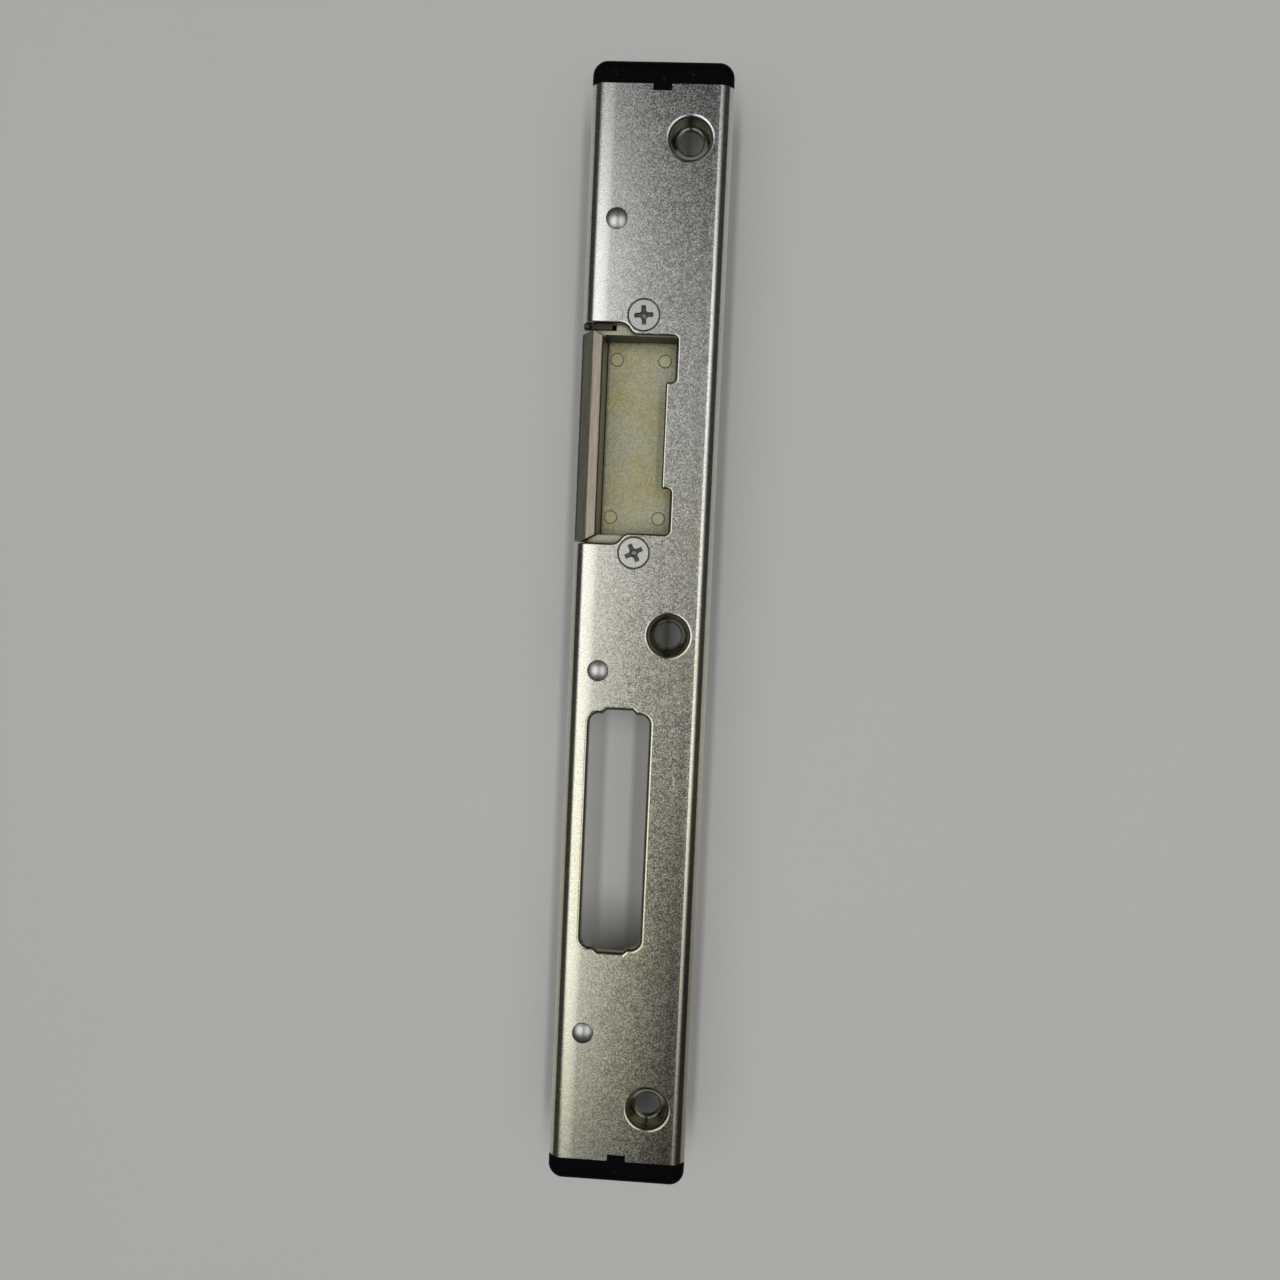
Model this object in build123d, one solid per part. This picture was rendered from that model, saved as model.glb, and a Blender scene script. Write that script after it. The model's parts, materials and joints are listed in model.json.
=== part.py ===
from build123d import *
import math
import os

# Electric door strike on a long U-profile strike plate.  Millimetres.
# X runs across the plate, Y along it, Z out of its face.  The origin is under the middle of the plate, on
# the plane that the back of the strike unit rests on.

# ---- overall sizes ----
STRIKE_DEPTH = 28.0      # back of the strike unit to the face of the plate
PLATE_LENGTH = 231.4     # sheet metal only, without the end caps
PLATE_WIDTH = 30.0
FLANGE_DEPTH = 8.0       # face to the rim of the folded sides
SHEET = 2.0              # plate thickness
BEND_RADIUS = 2.8        # outer radius of the folded edges
STRIKE_CENTRE = 42.55    # middle of the strike unit along Y
STRIKE_LENGTH = 67.0     # length of the die-cast housing
STRIKE_RIGHT = 7.6

# ---- named clearances ----
SEAT_GAP = 0.05          # parts that sit in a seat
STRIKE_SIDE_GAP = 0.2    # housing to the inside of the folded side
PIN_GAP = 0.05           # radial play of a lever on its pin
SLIDE_GAP = 0.3          # parts that pass each other
KEEPER_GAP = 0.25        # keeper ends to their neighbours
OVERCUT = 1.0            # how far a cutter runs past the face that it opens

# ---- faceplate features ----
CUP_X = 6.3
CUP_UPPER_INSET = 11.1    # plate end to the cup
CUP_LOWER_INSET = 12.0
CUP_MIDDLE_Y = 0.0
CUP_HALO_R = 5.1         # where the face starts to roll into the cup
CUP_RIM = 0.6            # flat ring around the roll
CUP_MOUTH_R = 4.2
CUP_SEAT_R = 3.05
CUP_HOLE_R = 2.65
CUP_DEPTH = 2.6          # face to the foot of the cone
CUP_HEIGHT = 4.6         # face to the underside of the cup
STUD_X = -8.5
STUD_UPPER_INSET = 28.0   # plate end to the stud
STUD_LOWER_INSET = 28.1
STUD_MIDDLE_Y = -8.2
STUD_HEAD_R = 2.3
STUD_NECK_R = 1.5
STUD_PILLAR_R = 2.5
STUD_DOME = 0.55
SLOT_CENTRE_X = -3.4
SLOT_CENTRE_Y = -43.0
SLOT_LENGTH = 51.0
SLOT_WIDTH = 12.9
SLOT_CORNER = 2.0
BUMP_WIDTH = 5.4
BUMP_HEIGHT = 0.9
BUMP_SLOPE = 1.0
SLOT_ROLL = 0.85         # rolled-over punching edge of the deadbolt slot
POCKET_ROLL = 0.5        # the same around the latch opening
OPENING_HALF = 20.95     # half length of the latch opening
OPENING_RIGHT = 5.5
TONGUE_RIGHT = 3.4
TONGUE_HALF = 11.3
SIDE_CUT_REACH = 2.35    # how much further the opening runs in the folded side, at each end
OPENING_CORNER = 0.9
TONGUE_CORNER = 0.5
SIDE_CUT_X = -6.8        # where the side opening starts to narrow
NARROW_X = -2.75         # where it has narrowed to the latch opening
NOTCH_WIDTH = 4.0
NOTCH_DEPTH = 1.4
CAP_LENGTH = 5.0
CAP_INSET = 0.05         # cap sides and top stand back from the plate by this
CAP_CORNER = 3.2         # in plan
CAP_EDGE = 1.8           # round over the top
CAP_LEG = 6.0            # how far the legs reach into the profile
CAP_LEG_WIDTH = 3.4
CAP_TONGUE_HALF = 2.9
CAP_TONGUE_THICKNESS = 1.6

# ---- strike screws ----
SCREW_X = -1.9
SCREW_EDGE = 0.95        # screw head to the latch opening
SCREW_HEAD_R = 3.25
SCREW_SHANK_R = 1.75
SCREW_RIM = 0.25         # cylindrical rim of the head
SCREW_RECESS = 0.04      # head below the plate face
SCREW_LENGTH = 10.4
CROSS_ARM = 0.95         # width of the cross recess arms
CROSS_R = 2.05
CROSS_DEPTH = 1.7
UPPER_CROSS_TURN = 4.0
LOWER_CROSS_TURN = 28.0

# ---- latch pocket and housing ----
FLOOR_DEPTH = 11.0       # plate face to the pocket floor
FLOOR_THICKNESS = 2.0
FLOOR_LEFT = -10.1
FLOOR_RIGHT = 4.9
POCKET_RIGHT = 6.0
GROOVE_DEPTH = 1.2
DISC_R = 1.3
DISC_HEIGHT = 0.12
DISC_GROOVE = 0.2        # ring-shaped groove around each disc
DISC_X = (-8.1, 2.5)
DISC_INSET = 3.65        # end of the opening to the middle of a disc
HOUSE_CORNER = 1.0
COVER_THICKNESS = 1.2
COVER_INSET = 0.9
END_WALL = 1.8
SIDE_WALL = 1.8
CAVITY_LEFT = -8.0
SILL_WIDTH = 1.4
FLOOR_COVE = 1.1         # radius where the pocket floor meets its lower end wall

# ---- keeper ----
KEEPER_SHIFT = 0.45      # keeper sits this much nearer the lower end than the housing does
KEEPER_MITRE = 2.65      # outer side longer than the inner side, at each end
KEEPER_CROWN_DROP = 0.8  # cut-back corner beside the release lever
KEEPER_INNER_X = -10.25
KEEPER_FLAT_X = -12.4
KEEPER_SLOPE_DROP = 2.6
KEEPER_SKIRT = 2.5       # pivot to the foot of the outer side
KEEPER_EDGE = 0.3        # bevels along the lip
KEEPER_TOP_GAP = 0.15    # keeper top below the plate face
PIVOT_X = -10.8
PIVOT_Z = 8.5
PIVOT_R = 1.5
BARREL_WALL = 0.8
TAIL_REACH = 4.2
TAIL_TOP = -1.4          # below the pivot
TAIL_BOTTOM = -3.2
TAIL_WIDTH = 8.0
SPRING_WIRE_R = 0.3
SPRING_TURNS = 5
SPRING_SLOT = 5.4
SPRING_ROOM = 0.4        # around the coil
SPRING_TO_TAIL = 4.625

# ---- locking lever ----
LEVER_X = 3.8
LEVER_Z = 6.0
LEVER_PIN_R = 1.0
LEVER_BARREL_R = 1.6
LEVER_TIP_X = -8.0
LEVER_THICKNESS = 2.0
LEVER_WIDTH = 11.0
LEVER_BEVEL = 0.6
RIB_THICKNESS = 1.6
RIB_LEFT = 1.8
RIB_BOTTOM = 3.0
RIB_TOP = 11.5

# ---- solenoid and armature ----
COIL_X = -1.1
COIL_Z = 8.9
FLANGE_R = 5.8
FLANGE_THICKNESS = 1.0
WINDING_R = 5.3
TUBE_R = 3.1
CORE_R = 2.5
BOBBIN_REST = 48.1       # length of the housing that the bobbin does not use
YOKE_THICKNESS = 1.2
YOKE_HALF = 6.2
ARMATURE_THICKNESS = 1.4
ARMATURE_TOP = 11.8
ARMATURE_GAP = 0.9
CORE_REACH = 0.7         # core past the bobbin
RIB_GAP = 1.2            # armature to the first rib
ARMATURE_Z = 2.9
ARMATURE_PIN_R = 0.6
ARMATURE_BARREL_R = 1.25
ARMATURE_HALF = 4.6
FINGER_X = (-1.4, 0.8)
FINGER_THICKNESS = 1.5
FINGER_OVERLAP = 0.5

# ---- terminals ----
TERMINAL_LENGTH = 10.0
TERMINAL_TOP = 12.0
TERMINAL_XS = (-4.2, 2.2)
CLAMP_SIZE = 4.4
WIRE_HOLE_R = 1.4
TERMINAL_SCREW_R = 1.3
LEAD_R = 0.45
LEAD_XS = (-0.4, 2.4)
LEAD_RISE = 4.3          # leads above the coil axis
LEAD_FOOT = 2.2          # lead ends below the top of the terminal block

# ---- release lever ----
RELEASE_THICKNESS = 1.0
RELEASE_PIN_R = 0.6
RELEASE_PIVOT_X = -9.6
RELEASE_PIVOT_DEPTH = 4.6  # face to the pin
RELEASE_TOP_DEPTH = 1.4    # face to the top of the arm
RELEASE_SLOT_DEPTH = 4.6   # pin to the bottom of the slot
RELEASE_SLOT_GAP = 0.1
RELEASE_RIGHT = -8.5
RELEASE_KNOB_LEFT = -14.6
RELEASE_KNOB_RIGHT = -13.3

# ---- places worked out from the sizes above ----
FACE = STRIKE_DEPTH
UNDERSIDE = FACE - SHEET
RIM = FACE - FLANGE_DEPTH
HALF_WIDTH = PLATE_WIDTH / 2
HALF_LENGTH = PLATE_LENGTH / 2
STRIKE_LEFT = HALF_WIDTH - SHEET - STRIKE_SIDE_GAP
FLOOR = FACE - FLOOR_DEPTH
ROOF = FLOOR - FLOOR_THICKNESS
CUP_YS = (HALF_LENGTH - CUP_UPPER_INSET, CUP_MIDDLE_Y, CUP_LOWER_INSET - HALF_LENGTH)
STUD_YS = (HALF_LENGTH - STUD_UPPER_INSET, STUD_MIDDLE_Y, STUD_LOWER_INSET - HALF_LENGTH)
SIDE_CUT_HALF = OPENING_HALF + SIDE_CUT_REACH
SCREW_HALF = OPENING_HALF + SCREW_EDGE + SCREW_HEAD_R
DISC_HALF = OPENING_HALF - DISC_INSET
KEEPER_CENTRE = STRIKE_CENTRE - KEEPER_SHIFT
KEEPER_INNER_HALF = OPENING_HALF
KEEPER_LOW_END = STRIKE_CENTRE - SIDE_CUT_HALF + KEEPER_GAP
KEEPER_HALF = KEEPER_INNER_HALF + KEEPER_MITRE
KEEPER_SKIRT_Z = PIVOT_Z + KEEPER_SKIRT
BARREL_R = PIVOT_R + BARREL_WALL
HOUSE_LOW = STRIKE_CENTRE - STRIKE_LENGTH / 2
HOUSE_HIGH = STRIKE_CENTRE + STRIKE_LENGTH / 2
CAVITY_LOW = HOUSE_LOW + END_WALL
CAVITY_HIGH = HOUSE_HIGH - END_WALL
CAVITY_RIGHT = STRIKE_RIGHT - SIDE_WALL
KEEPER_TOP = FACE - KEEPER_TOP_GAP
MITRE = (KEEPER_HALF - KEEPER_INNER_HALF) / (HALF_WIDTH + KEEPER_INNER_X)
YOKE_LOW = CAVITY_LOW + SEAT_GAP
BOBBIN_LOW = YOKE_LOW + YOKE_THICKNESS + SEAT_GAP
BOBBIN_HIGH = BOBBIN_LOW + STRIKE_LENGTH - BOBBIN_REST
CORE_HIGH = BOBBIN_HIGH + CORE_REACH
ARMATURE_LOW = CORE_HIGH + ARMATURE_GAP
ARMATURE_HIGH = ARMATURE_LOW + ARMATURE_THICKNESS
ARMATURE_Y = ARMATURE_LOW + ARMATURE_THICKNESS / 2
RIB_LOW = ARMATURE_HIGH + RIB_GAP
LEVER_LOW = RIB_LOW + RIB_THICKNESS + SLIDE_GAP
LEVER_HIGH = LEVER_LOW + LEVER_WIDTH
TAIL_CENTRE = (LEVER_LOW + LEVER_HIGH) / 2
LEVER_UNDERSIDE = PIVOT_Z + TAIL_TOP + SLIDE_GAP
LEVER_TOP = LEVER_UNDERSIDE + LEVER_THICKNESS
TERMINAL_LOW = HOUSE_HIGH - TERMINAL_LENGTH
SPRING_CENTRE = TAIL_CENTRE - TAIL_WIDTH / 2 - SPRING_TO_TAIL - SPRING_SLOT / 2
SPRING_R = PIVOT_R + 2 * SPRING_WIRE_R
LEVER_SPRING_X = -4.0
SIDE_CUT_HIGH = STRIKE_CENTRE + SIDE_CUT_HALF
RELEASE_HIGH = SIDE_CUT_HIGH - KEEPER_GAP
RELEASE_LOW = RELEASE_HIGH - RELEASE_THICKNESS
KEEPER_HIGH_END = RELEASE_LOW - KEEPER_GAP
RELEASE_PIVOT_Z = FACE - RELEASE_PIVOT_DEPTH
RELEASE_TOP = FACE - RELEASE_TOP_DEPTH
LEAD_Z = COIL_Z + LEAD_RISE
LEAD_LOW_Z = TERMINAL_TOP - LEAD_FOOT
COVER_SCREWS = (
    (-9.8, HOUSE_LOW + 4.0),
    (-9.8, HOUSE_HIGH - 4.0),
    (CAVITY_RIGHT - 2.0, TERMINAL_LOW - 4.0),
)
COVER_SCREW_R = 1.0
COVER_SCREW_RECESS = 0.1
COVER_HEAD_R = 1.9
COVER_SCREW_LENGTH = 5.0
COVER_BOSS_HALF = 2.1


def block(x0, x1, y0, y1, z0, z1):
    """A box between two corners."""
    middle = Pos((x0 + x1) / 2, (y0 + y1) / 2, (z0 + z1) / 2)
    return middle * Box(x1 - x0, y1 - y0, z1 - z0)


def rod_x(y, z, x0, x1, radius):
    """A cylinder along X."""
    return Pos((x0 + x1) / 2, y, z) * Rot(0, 90, 0) * Cylinder(radius, x1 - x0)


def rod_y(x, z, y0, y1, radius):
    """A cylinder along Y."""
    return Pos(x, (y0 + y1) / 2, z) * Rot(90, 0, 0) * Cylinder(radius, y1 - y0)


def rod_z(x, y, z0, z1, radius):
    """A cylinder along Z."""
    return Pos(x, y, (z0 + z1) / 2) * Cylinder(radius, z1 - z0)


def prism_y(points, y0, y1):
    """An (x, z) outline drawn out along Y."""
    face = make_face(Polyline([(x, y0, z) for x, z in points], close=True))
    return extrude(face, amount=y1 - y0, dir=(0, 1, 0))


def prism_x(points, x0, x1):
    """A (y, z) outline drawn out along X."""
    face = make_face(Polyline([(x0, y, z) for y, z in points], close=True))
    return extrude(face, amount=x1 - x0, dir=(1, 0, 0))


def prism_z(points, z0, z1):
    """An (x, y) outline drawn out along Z."""
    face = make_face(Polyline([(x, y, z0) for x, y in points], close=True))
    return extrude(face, amount=z1 - z0, dir=(0, 0, 1))


def turned(x, y, curve):
    """A solid of revolution about the vertical line through (x, y), from an outline in the XZ plane."""
    return Pos(x, y, 0) * revolve(make_face(curve), axis=Axis.Z)


def edges_inside(shape, low, high):
    """The edges of a shape that lie wholly inside a box."""
    found = []
    for edge in shape.edges():
        box = edge.bounding_box()
        least = (box.min.X, box.min.Y, box.min.Z)
        most = (box.max.X, box.max.Y, box.max.Z)
        if all(a >= b for a, b in zip(least, low)) and all(a <= b for a, b in zip(most, high)):
            found.append(edge)
    return found


def upright_edges_at(shape, places):
    """The vertical edges of a shape that stand at the given (x, y) places."""
    found = []
    for edge in shape.edges().filter_by(Axis.Z):
        middle = edge.center()
        if any(math.hypot(middle.X - x, middle.Y - y) < 0.01 for x, y in places):
            found.append(edge)
    return found


# ---------------------------------------------------------------- faceplate

def u_profile():
    """The folded sheet, before any opening is cut."""
    outer = block(-HALF_WIDTH, HALF_WIDTH, -HALF_LENGTH, HALF_LENGTH, RIM, FACE)
    outer_edges = [e for e in outer.edges().filter_by(Axis.Y) if e.center().Z > FACE - 0.01]
    outer = fillet(outer_edges, BEND_RADIUS)
    side = HALF_WIDTH - SHEET
    inner = block(-side, side, -HALF_LENGTH, HALF_LENGTH, RIM - OVERCUT, UNDERSIDE)
    inner_edges = [e for e in inner.edges().filter_by(Axis.Y) if e.center().Z > UNDERSIDE - 0.01]
    inner = fillet(inner_edges, BEND_RADIUS - SHEET)
    return outer - inner


def cup(y):
    """One formed fixing cup: a rolled mouth, a cone for the screw head, and a plain hole."""
    mouth_z = FACE - (CUP_HALO_R - CUP_MOUTH_R)
    turn = math.sqrt(0.5) * (CUP_HALO_R - CUP_MOUTH_R)
    middle = (CUP_HALO_R - turn, 0, mouth_z + turn)
    roll = ThreePointArc((CUP_HALO_R, 0, FACE), middle, (CUP_MOUTH_R, 0, mouth_z))
    outside = CUP_HALO_R + CUP_RIM
    wall = Polyline(
        (CUP_MOUTH_R, 0, mouth_z),
        (CUP_SEAT_R, 0, FACE - CUP_DEPTH),
        (CUP_HOLE_R, 0, FACE - CUP_DEPTH - 0.2),
        (CUP_HOLE_R, 0, FACE - CUP_HEIGHT),
        (CUP_MOUTH_R, 0, FACE - CUP_HEIGHT),
        (outside, 0, UNDERSIDE),
        (outside, 0, FACE),
        (CUP_HALO_R, 0, FACE),
    )
    return turned(CUP_X, y, Curve() + [roll, wall])


def latch_opening():
    """Cutter for the latch opening, which runs out through the left folded side."""
    left = -HALF_WIDTH - OVERCUT
    corners = []
    inner_corners = []
    halves = []
    for side in (1, -1):
        wide = STRIKE_CENTRE + side * SIDE_CUT_HALF
        narrow = STRIKE_CENTRE + side * OPENING_HALF
        step = STRIKE_CENTRE + side * TONGUE_HALF
        middle = ((SIDE_CUT_X + NARROW_X) / 2, (wide + narrow) / 2)
        first = TangentArc((SIDE_CUT_X, wide), middle, tangent=(1, 0))
        second = TangentArc((NARROW_X, narrow), middle, tangent=(-1, 0))
        halves += [
            Line((left, wide), (SIDE_CUT_X, wide)),
            first,
            second,
            Line((NARROW_X, narrow), (OPENING_RIGHT, narrow)),
            Line((OPENING_RIGHT, narrow), (OPENING_RIGHT, step)),
            Line((OPENING_RIGHT, step), (TONGUE_RIGHT, step)),
        ]
        corners += [(OPENING_RIGHT, narrow), (OPENING_RIGHT, step)]
        inner_corners.append((TONGUE_RIGHT, step))
    high = STRIKE_CENTRE + TONGUE_HALF
    low = STRIKE_CENTRE - TONGUE_HALF
    halves.append(Line((TONGUE_RIGHT, low), (TONGUE_RIGHT, high)))
    halves.append(Line((left, STRIKE_CENTRE - SIDE_CUT_HALF), (left, STRIKE_CENTRE + SIDE_CUT_HALF)))
    cutter = Pos(0, 0, RIM - OVERCUT) * extrude(make_face(Curve() + halves), FLANGE_DEPTH + 2 * OVERCUT)
    cutter = fillet(upright_edges_at(cutter, corners), OPENING_CORNER)
    return fillet(upright_edges_at(cutter, inner_corners), TONGUE_CORNER)


def deadbolt_slot():
    """Cutter for the deadbolt slot, with a shallow bump in the middle of each end."""
    low = UNDERSIDE - OVERCUT
    high = FACE + OVERCUT
    x0 = SLOT_CENTRE_X - SLOT_WIDTH / 2
    x1 = SLOT_CENTRE_X + SLOT_WIDTH / 2
    half = SLOT_LENGTH / 2
    cutter = block(x0, x1, SLOT_CENTRE_Y - half, SLOT_CENTRE_Y + half, low, high)
    cutter = fillet(cutter.edges().filter_by(Axis.Z), SLOT_CORNER)
    top = BUMP_WIDTH / 2
    foot = top + BUMP_SLOPE
    end = half + BUMP_HEIGHT
    bump = prism_z([(-foot, -half), (-top, -end), (top, -end), (foot, -half), (foot, half), (top, end),
                    (-top, end), (-foot, half)], low, high)
    return cutter + Pos(SLOT_CENTRE_X, SLOT_CENTRE_Y, 0) * bump


def screw_seat(y):
    """Cutter for a countersunk seat that the head's cone touches."""
    rim_z = FACE - SCREW_RECESS - SCREW_RIM
    mouth_r = SCREW_HEAD_R + FACE + OVERCUT - rim_z
    hole_r = SCREW_SHANK_R + 0.1
    foot_z = rim_z - (SCREW_HEAD_R - hole_r)
    seat = Polyline(
        (0, 0, UNDERSIDE - OVERCUT),
        (hole_r, 0, UNDERSIDE - OVERCUT),
        (hole_r, 0, foot_z),
        (mouth_r, 0, FACE + OVERCUT),
        (0, 0, FACE + OVERCUT),
        close=True,
    )
    return turned(SCREW_X, y, seat)


def faceplate():
    """The strike plate with all its openings."""
    plate = u_profile()
    for y in CUP_YS:
        plate -= rod_z(CUP_X, y, UNDERSIDE - OVERCUT, FACE + OVERCUT, CUP_HALO_R + CUP_RIM)
    plate -= latch_opening()
    plate -= deadbolt_slot()
    reach = SLOT_LENGTH / 2 + BUMP_HEIGHT + 0.1
    x0 = SLOT_CENTRE_X - SLOT_WIDTH / 2 - 0.1
    x1 = SLOT_CENTRE_X + SLOT_WIDTH / 2 + 0.1
    slot_low = (x0, SLOT_CENTRE_Y - reach, FACE - 0.01)
    slot_high = (x1, SLOT_CENTRE_Y + reach, FACE + 0.01)
    plate = fillet(edges_inside(plate, slot_low, slot_high), SLOT_ROLL)
    reach = SIDE_CUT_HALF + 0.1
    bend_end = -HALF_WIDTH + BEND_RADIUS
    edge_low = (bend_end - 0.01, STRIKE_CENTRE - reach, FACE - 0.01)
    edge_high = (OPENING_RIGHT + 0.1, STRIKE_CENTRE + reach, FACE + 0.01)
    plate = fillet(edges_inside(plate, edge_low, edge_high), POCKET_ROLL)
    for y in CUP_YS:
        plate += cup(y)
    for y in STUD_YS:
        plate -= rod_z(STUD_X, y, UNDERSIDE - OVERCUT, FACE + OVERCUT, STUD_NECK_R)
    for side in (1, -1):
        plate -= screw_seat(STRIKE_CENTRE + side * SCREW_HALF)
        end = side * HALF_LENGTH
        notch = sorted((end - side * NOTCH_DEPTH, end + side * OVERCUT))
        plate -= block(-NOTCH_WIDTH / 2, NOTCH_WIDTH / 2, *notch, UNDERSIDE - OVERCUT, FACE + OVERCUT)
    return plate


def end_cap(side):
    """A moulded cap: a rounded end, two legs, and a spring tongue with a tab in the plate's notch."""
    inner = HALF_LENGTH
    outer = inner + CAP_LENGTH
    half = HALF_WIDTH - CAP_INSET
    top = FACE - CAP_INSET
    body = block(-half, half, inner, outer, RIM, top)
    body = fillet(upright_edges_at(body, [(half, outer), (-half, outer)]), CAP_CORNER)
    outline = [e for e in body.edges() if e.center().Z > top - 0.01 and e.center().Y > inner + 0.01]
    body = fillet(outline, CAP_EDGE)
    leg_top = UNDERSIDE - SEAT_GAP
    leg_side = HALF_WIDTH - SHEET - SEAT_GAP
    for mirror in (1, -1):
        xs = sorted((mirror * leg_side, mirror * (leg_side - CAP_LEG_WIDTH)))
        leg = block(*xs, inner - CAP_LEG, inner, RIM + 0.3, leg_top)
        corner = [e for e in leg.edges().filter_by(Axis.Y) if abs(e.center().X) > leg_side - 0.01]
        corner = [e for e in corner if e.center().Z > leg_top - 0.01]
        body += fillet(corner, BEND_RADIUS - SHEET + SEAT_GAP)
    tongue = (-CAP_TONGUE_HALF, CAP_TONGUE_HALF, inner - CAP_LEG, inner)
    body += block(*tongue, leg_top - CAP_TONGUE_THICKNESS, leg_top)
    tab_half = NOTCH_WIDTH / 2 - SEAT_GAP
    body += block(-tab_half, tab_half, inner - NOTCH_DEPTH + SEAT_GAP, inner, leg_top, top)
    if side < 0:
        body = Rot(0, 0, 180) * body
    return body


def support_stud(y):
    """A pillar behind the plate, riveted over into a low dome on the face."""
    dome_r = (STUD_HEAD_R ** 2 + STUD_DOME ** 2) / (2 * STUD_DOME)
    dome = Pos(STUD_X, y, FACE + STUD_DOME - dome_r) * Sphere(dome_r)
    head = dome & rod_z(STUD_X, y, FACE, FACE + STUD_DOME + OVERCUT, STUD_HEAD_R + OVERCUT)
    neck = rod_z(STUD_X, y, UNDERSIDE, FACE, STUD_NECK_R)
    pillar = rod_z(STUD_X, y, RIM, UNDERSIDE, STUD_PILLAR_R)
    return head + neck + pillar


def strike_screw(side, turn):
    """A countersunk machine screw with a cross recess."""
    y = STRIKE_CENTRE + side * SCREW_HALF
    top = FACE - SCREW_RECESS
    cone_low = top - SCREW_RIM - (SCREW_HEAD_R - SCREW_SHANK_R)
    outline = Polyline(
        (0, 0, top - SCREW_LENGTH),
        (SCREW_SHANK_R - 0.4, 0, top - SCREW_LENGTH),
        (SCREW_SHANK_R, 0, top - SCREW_LENGTH + 0.4),
        (SCREW_SHANK_R, 0, cone_low),
        (SCREW_HEAD_R, 0, top - SCREW_RIM),
        (SCREW_HEAD_R, 0, top - 0.1),
        (SCREW_HEAD_R - 0.1, 0, top),
        (0, 0, top),
        close=True,
    )
    screw = turned(SCREW_X, y, outline)
    arm = CROSS_ARM / 2
    cross = block(-CROSS_R, CROSS_R, -arm, arm, -CROSS_DEPTH, OVERCUT)
    cross += block(-arm, arm, -CROSS_R, CROSS_R, -CROSS_DEPTH, OVERCUT)
    cross += Rot(0, 0, 45) * block(-CROSS_ARM, CROSS_ARM, -CROSS_ARM, CROSS_ARM, -CROSS_DEPTH, OVERCUT)
    taper = Polyline((0, 0, -CROSS_DEPTH), (arm, 0, -CROSS_DEPTH), (CROSS_R, 0, 0), (CROSS_R, 0, OVERCUT),
                     (0, 0, OVERCUT), close=True)
    recess = cross & turned(0, 0, taper)
    return screw - Pos(SCREW_X, y, top) * Rot(0, 0, turn) * recess


# ---------------------------------------------------------------- strike unit

def keeper_room():
    """Cutter for the space that the keeper stands in, with the keeper's mitred ends."""
    x0 = -STRIKE_LEFT - OVERCUT
    x1 = FLOOR_LEFT
    y0 = KEEPER_INNER_HALF + KEEPER_GAP + MITRE * (KEEPER_INNER_X - x0)
    y1 = KEEPER_INNER_HALF + KEEPER_GAP + MITRE * (KEEPER_INNER_X - x1)
    outline = [(x0, KEEPER_CENTRE - y0), (x1, KEEPER_CENTRE - y1), (x1, KEEPER_CENTRE + y1),
               (x0, KEEPER_CENTRE + y0)]
    return prism_z(outline, PIVOT_Z - BARREL_R - 0.4, UNDERSIDE + OVERCUT)


def floor_cove(y, side):
    """A concave fillet along X where the pocket floor meets an end wall."""
    edges = sorted((y, y - side * FLOOR_COVE))
    strip = block(FLOOR_LEFT, FLOOR_RIGHT, *edges, FLOOR, FLOOR + FLOOR_COVE)
    return strip - rod_x(y - side * FLOOR_COVE, FLOOR + FLOOR_COVE, FLOOR_LEFT, FLOOR_RIGHT, FLOOR_COVE)


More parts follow.
